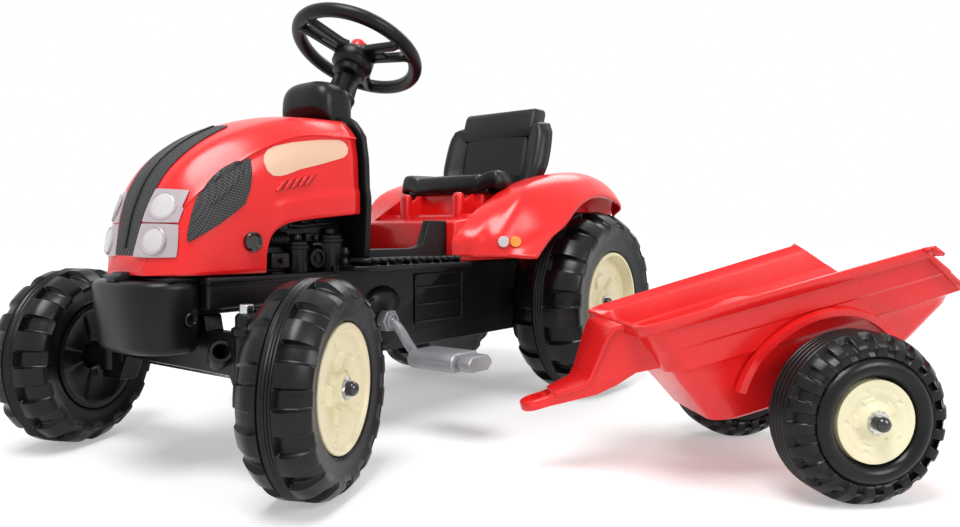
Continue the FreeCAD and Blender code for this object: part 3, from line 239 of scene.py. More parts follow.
def settle(name, bm, look, nodes, matrix=toFrame, hides=True, sharp=38):
    bm.transform(matrix)
    bmesh.ops.recalc_face_normals(bm, faces=bm.faces)
    mesh = bpy.data.meshes.new(name)
    bm.to_mesh(mesh)
    bm.free()
    mesh.shade_smooth()
    mesh.set_sharp_from_angle(angle=math.radians(sharp))
    piece = linked(name, mesh)
    mesh.materials.append(looks[look])
    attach(piece, nodeBody[nodes[0]])
    if hides:
        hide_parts(*nodes)
    return piece


def bevelled(piece, width, angle=30):
    edges = piece.modifiers.new("edges", "BEVEL")
    edges.width = width * mm
    edges.segments = 2
    edges.limit_method = "ANGLE"
    edges.angle_limit = math.radians(angle)
    edges.use_clamp_overlap = False
    edges.harden_normals = True


def thickened(piece, depth):
    wall = piece.modifiers.new("wall", "SOLIDIFY")
    wall.thickness = depth * mm
    wall.offset = -1


# A copy of a CAD node with its flat faces joined and its edges rounded
def dressed(node, look, width):
    bm = bmesh.new()
    bm.from_mesh(frame["nodes"][node].data)
    bmesh.ops.remove_doubles(bm, verts=bm.verts, dist=0.02 * mm)
    bmesh.ops.dissolve_limit(bm, angle_limit=math.radians(1), verts=bm.verts, edges=bm.edges)
    bevelled(settle(node + "_form", bm, look, [node], Matrix()), width)


def cornersIn(geom):
    return [item for item in geom if isinstance(item, bmesh.types.BMVert)]


def openEdges(bm):
    return [edge for edge in bm.edges if edge.is_boundary]


def creases(bm, angle):
    return [edge for edge in bm.edges if edge.calc_face_angle(0) > angle]


def softened(bm, edges, width, segments=3):
    bmesh.ops.bevel(bm, geom=edges, offset=width, segments=segments, profile=0.5, affect="EDGES", material=-1,
                    clamp_overlap=True)
    return bm


def chain(bm, points, closed=False):
    corners = [bm.verts.new(point) for point in points]
    pairs = list(zip(corners, corners[1:]))
    if closed:
        pairs.append((corners[-1], corners[0]))
    return [bm.edges.new(pair) for pair in pairs]


# A profile of (radius, height) pairs spun round the Z axis
def spun(profile, steps, closed=False):
    bm = bmesh.new()
    edges = chain(bm, [(radius, 0, height) for radius, height in profile], closed)
    bmesh.ops.spin(bm, geom=bm.verts[:] + edges, cent=(0, 0, 0), axis=(0, 0, 1), angle=2 * math.pi, steps=steps,
                   use_merge=True)
    bmesh.ops.remove_doubles(bm, verts=bm.verts, dist=0.001)
    return bm


# A quarter round from its rim to its top, as (radius, height) pairs
def domed(wide, base, height, steps=10):
    angles = [k * math.pi / (2 * steps) for k in range(steps + 1)]
    return [(wide * math.cos(a), base + height * math.sin(a)) for a in angles]


def hexagon(size):
    angles = [math.radians(60 * k) for k in range(6)]
    return [(size * math.cos(a), size * math.sin(a)) for a in angles]


def ball(columns, rows):
    bm = bmesh.new()
    bmesh.ops.create_uvsphere(bm, u_segments=columns, v_segments=rows, radius=1)
    return bm


# A grid of columns and rows, each corner put where the place function says
def woven(columns, rows, place):
    bm = bmesh.new()
    bmesh.ops.create_grid(bm, x_segments=columns, y_segments=rows, size=1)
    for vert in bm.verts:
        vert.co = place((vert.co.x + 1) / 2, (vert.co.y + 1) / 2)
    return bm


# A flat outline pulled along one axis, with all of its edges rounded
def slab(outline, axis, low, high, rounding=0, segments=3):
    bm = bmesh.new()
    order = {"x": (2, 0, 1), "y": (0, 2, 1), "z": (0, 1, 2)}[axis]
    corners = []
    for point in outline:
        parts = (point[0], point[1], low)
        corners.append(bm.verts.new([parts[index] for index in order]))
    face = bm.faces.new(corners)
    pulled = bmesh.ops.extrude_face_region(bm, geom=[face])["geom"]
    bmesh.ops.translate(bm, verts=cornersIn(pulled), vec=[(0, 0, high - low)[index] for index in order])
    bmesh.ops.recalc_face_normals(bm, faces=bm.faces)
    return softened(bm, bm.edges[:], rounding, segments) if rounding else bm


def brick(x, y, z, rounding, segments=3):
    return slab([(x[0], z[0]), (x[1], z[0]), (x[1], z[1]), (x[0], z[1])], "y", y[0], y[1], rounding, segments)


def joined(*forms):
    whole = bmesh.new()
    scrap = bpy.data.meshes.new("scrap")
    for form in forms:
        form.to_mesh(scrap)
        form.free()
        whole.from_mesh(scrap)
    bpy.data.meshes.remove(scrap)
    return whole


def moved(bm, matrix):
    bm.transform(matrix)
    return bm


# The form for the left or the right hand
def handed(bm, hand):
    bmesh.ops.scale(bm, vec=(1, hand, 1), verts=bm.verts)
    return bm


def mirrored(bm):
    other = handed(bm.copy(), -1)
    bmesh.ops.reverse_faces(other, faces=other.faces)
    return joined(bm, other)


# A point between two others, on a curve that leaves the first and reaches the second at the given slopes
def curve(here, there, leave, reach, t):
    return (here * (1 + 2 * t) * (1 - t) ** 2 + there * t * t * (3 - 2 * t)
            + leave * t * (1 - t) ** 2 - reach * t * t * (1 - t))


# A round rod along a smooth line through the points
def swept(points, radius, rings=14, turns=20):
    path = [Vector(point) for point in points]
    line = []
    for index in range(len(path) - 1):
        before, here, there, after = (path[min(max(index + k, 0), len(path) - 1)] for k in (-1, 0, 1, 2))
        for step in range(rings if index < len(path) - 2 else rings + 1):
            line.append(curve(here, there, (there - before) * 0.5, (after - here) * 0.5, step / rings))
    angles = [2 * math.pi * k / turns for k in range(turns)]
    bm = bmesh.new()
    last = None
    aside = Vector((1, 0, 0))
    for index, point in enumerate(line):
        ahead = (line[min(index + 1, len(line) - 1)] - line[max(index - 1, 0)]).normalized()
        aside = (aside - ahead * aside.dot(ahead)).normalized()
        up = ahead.cross(aside)
        edges = chain(bm, [point + (aside * math.cos(a) + up * math.sin(a)) * radius for a in angles], True)
        if last:
            bmesh.ops.bridge_loops(bm, edges=last + edges)
        last = edges
    bmesh.ops.holes_fill(bm, edges=openEdges(bm))
    return bm


def ease(value, low, high):
    share = min(max((value - low) / (high - low), 0), 1)
    return share * share * (3 - 2 * share)


# The value of a table's columns at x, on a smooth curve through its rows
def through(table, x):
    x = min(max(x, table[0][0]), table[-1][0])
    index = max(i for i in range(len(table) - 1) if table[i][0] <= x)
    here, there = table[index], table[index + 1]
    before, after = table[max(index - 1, 0)], table[min(index + 2, len(table) - 1)]
    run = there[0] - here[0]
    values = []
    for column in range(1, len(here)):
        leave = (there[column] - before[column]) / (there[0] - before[0]) * run
        reach = (after[column] - here[column]) / (after[0] - here[0]) * run
        values.append(curve(here[column], there[column], leave, reach, (x - here[0]) / run))
    return values


# Wheels: blow-moulded tyres with pockets between two rows of lugs, dished discs, star washers and dome caps
wheelKinds = {
    "rear": {"radius": 137, "width": 112, "disc": 76, "out": 33, "pocket": 8.5, "relief": 5, "dish": 6, "lugs": 16,
             "lugShare": 0.56, "band": 9, "turn": 0, "wrap": 2.2, "lugEnd": 0.16,
             "wall": ((0.1, 0.4), (0.2, -0.4), (0.4, -3), (0.6, -4.6), (0.8, -5.6), (0.9, -6.2), (0.96, -7.4))},
    "front": {"radius": 100, "width": 68, "disc": 60, "out": 25, "pocket": 6.5, "relief": 5.4, "dish": 6, "lugs": 16,
              "lugShare": 0.56, "band": 7, "turn": 24, "wrap": 1.8, "lugEnd": 0.16,
              "wall": ((0.1, 0.3), (0.2, -0.4), (0.4, -2.6), (0.6, -4), (0.8, -5), (0.9, -5.6), (0.96, -6.8))},
    "trailer": {"radius": 77, "width": 54, "disc": 38, "out": 26, "pocket": 5.5, "relief": 1.4, "dish": 2, "lugs": 22,
                "lugShare": 0.54, "band": 13, "turn": -45.2, "wrap": 3.4, "lugEnd": 0.36,
                "wall": ((0.08, 0.5), (0.2, 0.5), (0.33, 0.1), (0.38, -1.6), (0.42, 0.2), (0.5, 2.4), (0.6, 3.7),
                         (0.7, 3.8), (0.8, 2.8), (0.88, 0.8), (0.94, -1.8), (0.98, -4.5))},
}
tyreShape = {"flatShare": 0.2, "footShare": 0.865, "fallPower": 1.8, "flank": 1.4, "slope": 2, "stepsPerLug": 26,
             "ribs": 4.5, "ribHeight": 0.7, "row": 2.4, "fineRow": 0.7, "shallow": 0.45}


def makeTyre(wheel, name, place):
    radius, width, disc, band, lugs = picked(wheel, "radius width disc band lugs")
    pocket, lugShare, lugEnd = picked(wheel, "pocket lugShare lugEnd")
    flank, fine, coarse, shallow = picked(tyreShape, "flank fineRow row shallow")
    ribs, ribHeight, slope = picked(tyreShape, "ribs ribHeight slope")
    half, flat, foot = width / 2, width * tyreShape["flatShare"], radius * tyreShape["footShare"]
    deep = foot - disc

    def crest(height):
        share = min(max((abs(height) - flat) / (half - flat), 0), 1)
        return radius - (radius - foot) * share ** tyreShape["fallPower"]

    rows, count = round(band / fine), round((half - band - slope) / coarse)
    upper = [band * k / rows for k in range(1, rows + 1)] + [band + 0.7, band + 1.3, band + slope]
    upper += [band + slope + (half - band - slope) * k / count for k in range(1, count + 1)]
    heights = [-z for z in reversed(upper)] + [0] + upper
    wall = [(foot - deep * share, half + rise) for share, rise in wheel["wall"]] + [(disc, half - 12)]
    back = [(r, -z) for r, z in reversed(wall)]
    steps = lugs * tyreShape["stepsPerLug"] // 1
    bm = spun(back + [(crest(z), z) for z in heights] + wall, steps, True)
    pitch = 2 * math.pi / lugs
    wrapEnd = foot - deep * lugEnd
    for vert in bm.verts:
        x, y, z = vert.co
        r = math.hypot(x, y)
        phase = (math.atan2(y, x) / pitch + (0.25 if z > 0 else 0.75)) % 1
        edge = (0.5 * lugShare - abs(phase - 0.5)) * pitch * r
        gap = 1 - ease(edge, -flank / 2, flank / 2)
        if abs(z) <= half and r > foot - 0.01:
            depth = pocket * (1 - shallow * ease(abs(z), half * 0.5, half))
            sunk = depth * gap * ease(abs(z), band, band + slope)
            if abs(z) < band:
                sunk += ribHeight * (1 + math.cos(2 * math.pi * z * ribs / band / 2))
            vert.co = (x * (r - sunk) / r, y * (r - sunk) / r, z)
        elif r > wrapEnd:
            vert.co.z -= math.copysign(wheel["wrap"] * gap * ease(r, wrapEnd, foot - deep * lugEnd * 0.7), z)
            sunk = pocket * (1 - shallow) * gap * ease(r, foot - deep * 0.1, foot)
            vert.co.x *= (r - sunk) / r
            vert.co.y *= (r - sunk) / r
    settle(name % "tyre_skin", bm, "tyre", [name % "tyre"], place, sharp=50)


discShape = {"bore": 6.2, "boss": 15.2, "face": 18, "lobes": 5, "dimple": 0.625, "steps": 180, "coverLobes": 4,
             "coverRelief": 3}


def makeDisc(wheel, name, place):
    drum, edge, out, dish = wheel["disc"] - 0.5, wheel["width"] / 2 - 5.5, wheel["out"], wheel["dish"]
    bore, boss, start, steps = picked(discShape, "bore boss face steps")
    inside, proud = drum - 3.5, max(edge, out + 1)
    face = [start + (inside - start - 4) * k / 26 for k in range(27)]
    profile = [(bore, out + 3), (11.5, out + 3), (13, out + 2.4), (boss, out - dish + 2)]
    profile += [(r, out - dish * (1 - ease(r, start, inside * 0.8))) for r in face]
    profile += [(inside - 2.4, out + 0.6), (inside - 0.6, proud), (drum - 0.8, proud), (drum, edge - 1),
                (drum, -edge), (inside, -edge), (inside, out - 9.5), (15, out - 9.5), (15, 0), (bore, 0)]
    bm = spun(profile, steps, True)
    for vert in bm.verts:
        x, y, z = vert.co
        r, angle = math.hypot(x, y), math.atan2(y, x)
        if z > out - dish - 0.5 and start - 0.5 < r < inside - 3:
            share, star = r / inside, math.cos(angle * discShape["lobes"])
            lobe = ease(star, 0, 0.26) * ease(share, 0.3, 0.35) * (1 - ease(share, 0.58, 0.64))
            dimple = ease(star, 0.9, 0.97) * ease(share, 0.74, 0.77) * (1 - ease(share, 0.84, 0.87))
            vert.co.z += wheel["relief"] * (lobe - discShape["dimple"] * dimple)
    settle(name % "disc", bm, "cream", [name % "rim"], place)
    # the wheel's inner face is black
    cover = [(boss, 10), (17, 8), (drum * 0.45, 9), (drum * 0.8, 7), (drum - 5, 3), (drum - 4, -0.8),
             (drum + 1.2, -0.8), (drum + 1.2, 2), (drum - 3.6, 5), (drum * 0.8, 11), (boss, 13)]
    bm = spun([(r, z - edge) for r, z in cover], steps, True)
    for vert in bm.verts:
        x, y, z = vert.co
        share, angle = math.hypot(x, y) / drum, math.atan2(y, x)
        lobe = ease(math.cos(angle * discShape["coverLobes"]), 0.1, 0.6) * ease(share, 0.3, 0.44)
        vert.co.z -= discShape["coverRelief"] * lobe * (1 - ease(share, 0.7, 0.8))
    settle(name % "cover", bm, "black", [name % "rim"], place)


capShape = {"gap": 3.5, "points": 24, "washer": (11, 10.4, 2), "notch": 0.84, "dome": 6.9, "rise": 6}


def makeCap(wheel, name, place):
    seat, wide = wheel["out"] + capShape["gap"], capShape["dome"]
    low, high, thick = capShape["washer"]
    washer = bmesh.new()
    bmesh.ops.create_cone(washer, cap_ends=True, segments=capShape["points"], radius1=low, radius2=high, depth=thick)
    for index, vert in enumerate(washer.verts):
        if index // 2 % 2:
            vert.co.x *= capShape["notch"]
            vert.co.y *= capShape["notch"]
    settle(name % "washer", moved(washer, shift((0, 0, seat + 1))), "steel", [name % "cap"], place)
    dome = [(6.1, seat + 2), (wide - 0.1, seat + 2), (wide, seat + 4)] + domed(wide, seat + 5.5, capShape["rise"], 8)
    settle(name % "dome", spun(dome, 32), "cap", [name % "cap"], place)


for kind, wheel in wheelKinds.items():
    for label, hand in sides:
        wheelName = kind + "_%s_" + label
        centre = shift(centreOf(wheelName % "tyre"))
        place = centre @ turn(wheel["turn"], "Z") @ turn(-90 * hand, "X") @ Matrix.Scale(mm, 4)
        makeTyre(wheel, wheelName, place)
        makeDisc(wheel, wheelName, place)
        makeCap(wheel, wheelName, place)
print("wheels")


# Steering wheel: a round ring on three double spokes, a stepped hub and the horn's dome
wheelTop = {"hub": (338, 0, 466), "lean": -26, "rest": -21, "ring": 78, "grip": 8.8, "rise": 12, "slot": 4, "rib": 9}


def makeSteeringWheel():
    place = toFrame @ shift(wheelTop["hub"]) @ turn(wheelTop["lean"], "Y") @ turn(wheelTop["rest"], "Z")
    ring, grip, rise, low, thick = picked(wheelTop, "ring grip rise slot rib")
    high = low + thick
    angles = [a * math.pi / 10 for a in range(20)]
    hub = [(7.1, -26), (19, -26), (20.5, -24.5), (20.5, -17), (23.5, -15.5), (26, -12), (26, 1), (25, 4), (20.5, 9),
           (17.6, 11.2), (14.8, 12), (12.6, 11.6), (12.2, 10.6), (12.2, 4), (7.1, 4)]
    rim = [(ring + grip * math.cos(a), rise + grip * math.sin(a)) for a in angles]
    forms = [spun(rim, 96, True), spun(hub, 72, True)]
    spoke = [(18, low), (ring - 14, low + 1), (ring - 3, low + 5), (ring + 1, high + 9), (ring - 9, high + 3),
             (24, high + 1), (17, high + 4)]
    for index in range(3):
        for hand in (1, -1):
            rib = handed(slab(spoke, "z", 1, rise - 1, 2.2), hand)
            bmesh.ops.translate(rib, vec=(0, 0, 1.5), verts=[v for v in rib.verts if v.co.x > 50])
            forms.append(moved(rib, turn(120 * index, "Z")))
        forms.append(moved(brick((19, 47), (-5, 5), (2, 6.5), 1.2), turn(120 * index, "Z")))
    settle("steering_wheel_form", joined(*forms), "black", ["steering_wheel"], place)
    dome = spun([(0.01, 9), (11.7, 9), (11.9, 17.5), (11.4, 19.4)] + domed(11.2, 20, 8), 48)
    settle("horn_dome", dome, "red", ["horn_button"], place)


makeSteeringWheel()
print("steering wheel")


# Bonnet: one smooth shell through stations, with a shoulder step, a belt line and the engine's cut-out
hoodShape = {
    "rear": 416, "wall": 3, "crown": 5, "step": 2.6, "belt": 2.2, "base": 200, "under": 3, "swell": 2.4,
    # distance from the rear edge, half-widths at foot and shoulder, shoulder height, top half-width, height
    "stations": ((0, 84, 84, 350, 58, 371), (73, 83, 82, 346, 56, 366), (123, 80, 77, 328, 50, 351),
                 (168, 76, 69, 298, 42, 327), (201, 67, 60, 268, 34, 296), (219, 52, 46, 240, 28, 260),
                 (229, 34, 31, 206, 24, 216)),
    "cutOut": ((-1, 263), (40, 259), (80, 254.6), (98, 251.5), (107, 248), (114, 243), (119, 236), (122, 228),
               (123.6, 218), (124, 200.2), (230, 200)),
    "beltLine": ((0, 290), (44, 284), (84, 278), (115, 272.5), (230, 262)), "beltEnd": 118,
    "columns": (0, 12, 24, 36, 48, 60, 72, 82, 90, 98, 104, 108, 112, 115, 118, 120.5, 122.4, 123.5, 124, 124.1, 130,
                137, 144, 151, 159, 167, 175, 183, 190, 196, 201, 206, 210, 214, 217, 220, 222.5, 225, 227, 228.2,
                229),
    # rows up the side, round the shoulder, up the slope and over the top
    "rows": (22, 5, 8, 8),
}


def straight(table, x):
    for here, there in zip(table, table[1:]):
        if x <= there[0]:
            return here[1] + (there[1] - here[1]) * max(x - here[0], 0) / (there[0] - here[0])
    return table[-1][1]


def shares(count):
    return [index / count for index in range(1, count + 1)]


def hoodSection(x):
    foot, shoulder, shoulderZ, top, topZ = through(hoodShape["stations"], x)
    step, beltEnd, base, under = picked(hoodShape, "step beltEnd base under")
    sideRows, bendRows, slopeRows, topRows = hoodShape["rows"]
    belt, low = straight(hoodShape["beltLine"], x), min(straight(hoodShape["cutOut"], x), shoulderZ - 4)
    rows = []
    for index in range(sideRows + 1):
        z = low + (shoulderZ - under - low) * index / sideRows
        share = min(max((z - base) / max(shoulderZ - base, 1), 0), 1)
        swell = hoodShape["swell"] * math.sin(math.pi * share) * ease(x, 229, 180)
        ledge = hoodShape["belt"] * ease(z, belt + 1.2, belt - 1.2) * ease(x, beltEnd, beltEnd - 16)
        rows.append((foot + (shoulder - foot) * share + swell + ledge - step * ease(share, 0.82, 1), z))
    for t in shares(bendRows):
        rows.append((shoulder - step * (1 - ease(t, 0, 0.5)) - 2.4 * ease(t, 0.4, 1), shoulderZ - under + 4.4 * t))
    startY, startZ = rows[-1]
    for t in shares(slopeRows):
        lift = (topZ - startZ) * (1 - (1 - t) ** 1.5)
        rows.append((startY + (top - startY) * t, startZ + lift))
    for t in shares(topRows):
        rows.append((top * (1 - t), topZ + hoodShape["crown"] * (1 - (1 - t) ** 2) * ease(x, 232, 190)))
    return rows


def makeHood():
    columns, rear = hoodShape["columns"], hoodShape["rear"]
    sections = [hoodSection(x) for x in columns]
    last = len(sections[0]) - 1

    def place(u, v):
        column, row = round(u * (len(columns) - 1)), round(v * 2 * last)
        hand = 1 if row <= last else -1
        y, z = sections[column][row if row <= last else 2 * last - row]
        return (rear + columns[column], hand * y, z)

    bm = woven(len(columns) - 1, 2 * last, place)
    nose = [edge for edge in openEdges(bm) if all(v.co.x > rear + columns[-1] - 0.1 for v in edge.verts)]
    bmesh.ops.contextual_create(bm, geom=nose)
    tree = BVHTree.FromBMesh(bm)
    thickened(settle("hood_shell", bm, "red", ["hood"], sharp=50), hoodShape["wall"])
    return tree


hoodTree = makeHood()


# A patch laid on the bonnet: the place function gives a point off the skin, which goes along the ray to it
def laid(name, look, nodes, place, ray, columns, rows, lift, depth):
    def onSkin(u, v):
        point = Vector(place(u, v))
        hit, normal, _, _ = hoodTree.ray_cast(point, Vector(ray))
        if hit is None:
            hit, normal, _, _ = hoodTree.find_nearest(point + Vector(ray) * 700)
        if normal.dot(Vector(ray)) > 0:
            normal = -normal
        return hit + normal * lift

    piece = settle(name, woven(columns, rows, onSkin), look, nodes)
    thickened(piece, depth)
    bevelled(piece, min(depth * 0.4, 0.6), 50)


def between(first, second, t):
    return [a + (b - a) * t for a, b in zip(first, second)]


def alongLine(points, t):
    spans = [math.dist(a, b) for a, b in zip(points, points[1:])]
    left = t * sum(spans)
    for length, here, there in zip(spans, points, points[1:]):
        if left <= length:
            return between(here, there, left / length)
        left -= length
    return points[-1]


def rounded(u, v, amount):
    a, b = 2 * u - 1, 2 * v - 1
    return 0.5 + 0.5 * a * math.sqrt(1 - amount * b * b), 0.5 + 0.5 * b * math.sqrt(1 - amount * a * a)


hoodTrim = {
    "stripSpan": (543, 645), "stripHalf": ((543, 22), (549, 26), (565, 28), (600, 28), (626, 25), (646, 16)),
    "lamp": ((27, 283), (58, 281), (60, 217), (17, 217)),
    # name, upper and lower end as shares of the lamp, radius of the lens
    "lampParts": (("upper", 0.0, 0.492, 13), ("lower", 0.508, 1.0, 12.5)),
    "leafRear": ((553, 316), (553.9, 299.6), (556.7, 285.4), (563.4, 269.2), (576.2, 258.9), (590.2, 248.9),
                 (605.1, 239.2), (618.5, 231)),
    "leafFront": ((553, 316), (569.2, 310.3), (581.8, 302.8), (593.4, 292), (601.5, 282.5), (608.5, 270), (613, 259),
                  (617, 243.5), (618.5, 231)),
    "streaks": (((562, 303), (596, 268), 2.6), ((559, 288), (583, 262), 2.2)),
    "plateTop": ((429.5, 336), (431, 341), (435, 344), (441, 345.4), (468, 343), (506, 336.5), (526, 331),
                 (534, 326.5), (538.5, 320), (540, 313)),
    "plateLow": ((429.5, 336), (431, 330), (437, 325), (471, 314.7), (498, 307.4), (514, 301), (523, 298.6),
                 (531, 299), (537, 303.5), (540, 313)),
    "ventAt": (487, 291), "ventPitch": (8.9, -2), "ventRun": (4.2, -11.5, 13.5), "ventCount": 5,
    "plugAt": (556, 232), "plugRadius": 10,
    # where rays to the bonnet start: ahead of it, aside and above
    "ahead": 900, "aside": 300, "above": 500,
}


def makeLamp(label, hand):
    node = "headlamp_" + label
    corners = [(y * hand, z) for y, z in hoodTrim["lamp"]]
    ahead = Vector((-1, 0, 0))

    def panelPoint(a, b):
        top, foot = between(corners[0], corners[1], a), between(corners[3], corners[2], a)
        return (hoodTrim["ahead"], *between(top, foot, b))

    for part, low, high, size in hoodTrim["lampParts"]:
        def panel(u, v):
            a, b = rounded(u, v, 0.05)
            return panelPoint(a, low + (high - low) * b)

        name = "%s_%s" % (node, part)
        laid(name, "lampPanel", [node], panel, ahead, 14, 14, 1.0, 1.2)
        spot, normal, _, _ = hoodTree.ray_cast(Vector(panelPoint(0.52, (low + high) / 2)), ahead)
        normal = normal if normal.x > 0 else -normal
        place = toFrame @ shift(spot + normal * 1.1) @ normal.to_track_quat("Z", "Y").to_matrix().to_4x4()
        bezel = [(size - 0.5, -1), (size - 0.5, 0.6), (size - 0.1, 1.2), (size + 1, 1.3), (size + 1.8, 0.6),
                 (size + 2, -1)]
        settle(name + "_bezel", spun(bezel, 48, True), "lampPanel", [node], place)
        settle(name + "_lens", spun(domed(size, 0.2, 2.2), 48), "lens", [node], place)


def makeCheek(label, hand):
    node = "side_grille_" + label
    inward = (0, -hand, 0)
    far = hoodTrim["aside"] * hand

    def leaf(u, v):
        t = 0.015 + 0.97 * v
        x, z = between(alongLine(hoodTrim["leafRear"], t), alongLine(hoodTrim["leafFront"], t), u)
        return (x, far, z)

    laid(node + "_skin", "mesh", [node], leaf, inward, 16, 44, 1.0, 1.2)
    for index, (start, end, wide) in enumerate(hoodTrim["streaks"]):
        def streak(u, v):
            x, z = between(start, end, u)
            swell = wide * math.sqrt(math.sin(math.pi * min(max(u, 0.02), 0.98))) * (2 * v - 1) * 0.7
            return (x + swell, far, z + swell)

        laid("%s_streak_%d" % (node, index), "mesh", [node], streak, inward, 16, 4, 1.9, 1.6)

    def plate(u, v):
        x, z = between(alongLine(hoodTrim["plateLow"], u), alongLine(hoodTrim["plateTop"], u), 0.02 + 0.96 * v)
        return (x, far, z)

    laid("side_plate_" + label, "plate", ["hood"], plate, inward, 44, 10, 0.6, 0.6)
    ventX, ventZ = hoodTrim["ventAt"]
    pitchX, pitchZ = hoodTrim["ventPitch"]
    wide, run, rise = hoodTrim["ventRun"]
    for index in range(hoodTrim["ventCount"]):
        def slot(u, v):
            a, b = rounded(u, v, 0.3)
            return (ventX + pitchX * index + wide * a + run * b, far, ventZ + pitchZ * index + rise * b)

        def hoodLip(u, v):
            x, y, z = slot(u, v)
            return (x + wide * 0.75, y, z)

        # each slot is a thin patch of deep red on the skin: painted shade behind its louvre
        laid("vent_%d_%s" % (index, label), "shade", ["hood"], slot, inward, 4, 8, 0.15, 0.3)
        laid("louvre_%d_%s" % (index, label), "red", ["hood"], hoodLip, inward, 4, 8, 2.0, 2.2)


def makeTrim():
    start, end = hoodTrim["stripSpan"]
    down = (0, 0, -1)

    def strip(u, v):
        x = start + (end - start) * u
        return (x, straight(hoodTrim["stripHalf"], x) * (2 * v - 1), hoodTrim["above"])

    def rib(u, v):
        x, y, z = strip(0.02 + 0.96 * u, v)
        return (x, y * 0.12, z)

    laid("grille_strip_skin", "mesh", ["grille_strip"], strip, down, 60, 12, 1.4, 1.4)
    laid("grille_strip_rib", "black", ["grille_strip"], rib, down, 60, 4, 2.8, 2.0)
    plugs = []
    plugX, plugZ = hoodTrim["plugAt"]
    wide = hoodTrim["plugRadius"]
    plug = [(0.01, 3.2), (wide * 0.62, 3.4), (wide * 0.66, 4.6), (wide * 0.86, 4.8), (wide, 3.4), (wide, -2)]
    for label, hand in sides:
        makeLamp(label, hand)
        makeCheek(label, hand)
        spot, _, _, _ = hoodTree.ray_cast(Vector((plugX, hoodTrim["aside"] * hand, plugZ)), Vector((0, -hand, 0)))
        plugs.append(moved(spun(plug, 40), shift(spot) @ turn(-90 * hand, "X")))
    settle("hood_plug_pair", joined(*plugs), "cap", ["hood_plugs"])


makeTrim()
print("bonnet")


# Rear body: the deck with its step and prongs, and a broad fender over each wheel
rearShape = {
    "axleZ": 137, "radius": 199, "tuck": 0.12, "prongY": 50, "crown": 134, "root": 87, "edge": 182, "outFall": 34,
    "inFall": 5, "skin": 4,
    # distance to the left, front of the panel before the wheel
    "toe": ((87, 245), (112, 226), (136, 206.5), (158, 197), (182, 190)), "toeLean": 30,
    # angle about the axle, bulge of the crown there
    "arch": ((46, 26), (65, 8), (84, 0), (100, 0), (112, 0)),
    "toeZ": 210, "tail": 137, "tailTrim": 18, "tailDrop": 10, "tailRound": 16, "deckZ": 270, "deckHalf": 90,
    "columns": 60, "rows": 26,
}


def fenderPoint(u, v):
    root, crown, edge, axleZ, toeZ = picked(rearShape, "root crown edge axleZ toeZ")
    radius, tuck, tailDrop = picked(rearShape, "radius tuck tailDrop")
    y = root + (edge - root) * (max(v - tuck, 0) / (1 - tuck))
    if y > crown:
        radius -= rearShape["outFall"] * ((y - crown) / (edge - crown)) ** 2.2
    else:
        radius -= rearShape["inFall"] * ((crown - y) / (crown - root)) ** 2
    outer = ease(y, crown, edge)
    toe = straight(rearShape["toe"], y)
    tail = rearShape["tail"] - rearShape["tailTrim"] * ease(y, crown - 20, edge)
    line = [(0, toe, toeZ), (1, toe - 8 - rearShape["toeLean"] * outer, toeZ + 34 - 6 * outer)]
    for index, (angle, bulge) in enumerate(rearShape["arch"] + ((tail, 0),)):
        turned = math.radians(angle)
        reach = radius + bulge * (1 - outer) - (tailDrop * outer if angle == tail else 0)
        line.append((2 + index, reach * math.cos(turned), axleZ + reach * math.sin(turned)))
    x, z = through(line, 7 * u)
    flute = ease(u, 0.28, 0.06) * math.cos(2 * math.pi * (y - root) / 24) * ease(y, edge, crown)
    if v < tuck:
        z += (min(z, rearShape["deckZ"] - 6) - z) * (1 - v / tuck)
    y -= rearShape["tailRound"] * ease(u, 0.86, 1) ** 2 * ease(v, 0.6, 1) ** 2
    return (x + flute, y + flute * 0.6, z)


def makeRearBody():
    half, toeZ, axleZ, prongY = picked(rearShape, "deckHalf toeZ axleZ prongY")
    fender = woven(rearShape["columns"], rearShape["rows"], fenderPoint)
    inner = rearShape["edge"] - rearShape["tailRound"] - 0.5
    rim = [edge for edge in openEdges(fender) if all(v.co.y > inner for v in edge.verts)
           and any(v.co.z > toeZ + 0.5 for v in edge.verts)]
    for vert in cornersIn(bmesh.ops.extrude_edge_only(fender, edges=rim)["geom"]):
        reach = Vector((vert.co.x, 0, vert.co.z - axleZ))
        vert.co -= reach.normalized() * 5 + Vector((0, -1.5, 0))
    thickened(settle("fender_pair", mirrored(fender), "red", ["rear_body"], sharp=50), rearShape["skin"])
    deck = [(245, 204), (243, 257), (190, 264), (182, 270), (-102, 270), (-122, 254), (-126, 204)]
    web = [(140, 262), (184, 262), (184, 284), (150, 300), (140, 300)]
    forms = [slab(deck, "y", -half, half, 4), brick((4, 148), (-66, 66), (262, 301), 4)]
    for middle in (prongY, -prongY):
        prong = brick((176, 193), (middle - 8, middle + 8), (256, 300), 7, 4)
        forms += [prong, slab(web, "y", middle - 3, middle + 3, 1.5)]
    settle("deck_form", joined(*forms), "red", ["rear_body"])


makeRearBody()
print("rear body")


# Seat: a hard moulded bucket, with drawn seams, side bolsters and a head pad
seatShape = {"rear": 42, "front": 158, "low": 300, "thick": 30, "half": 100, "backHalf": 101, "backTop": 424,
             "headHalf": 70, "headTop": 446, "seam": 0.6, "seamDepth": 2.6}


def seam(value, place, wide):
    return math.exp(-((value - place) / wide) ** 2)


# The two seams along the bolsters, and one across between them
def grooves(aside, u, place, wide):
    cross = 0.8 * seam(u, place, wide) * ease(aside, 0.6, 0.56)
    return seatShape["seamDepth"] * (seam(aside, seatShape["seam"], 0.025) + cross)


# How far a panel's surface drops as it rolls over towards its edge
def rolled(u, v, wide, depth):
    near = min(u, 1 - u, v, 1 - v) / wide
    return depth * (1 - math.sqrt(max(1 - max(1 - near, 0) ** 2, 0)))


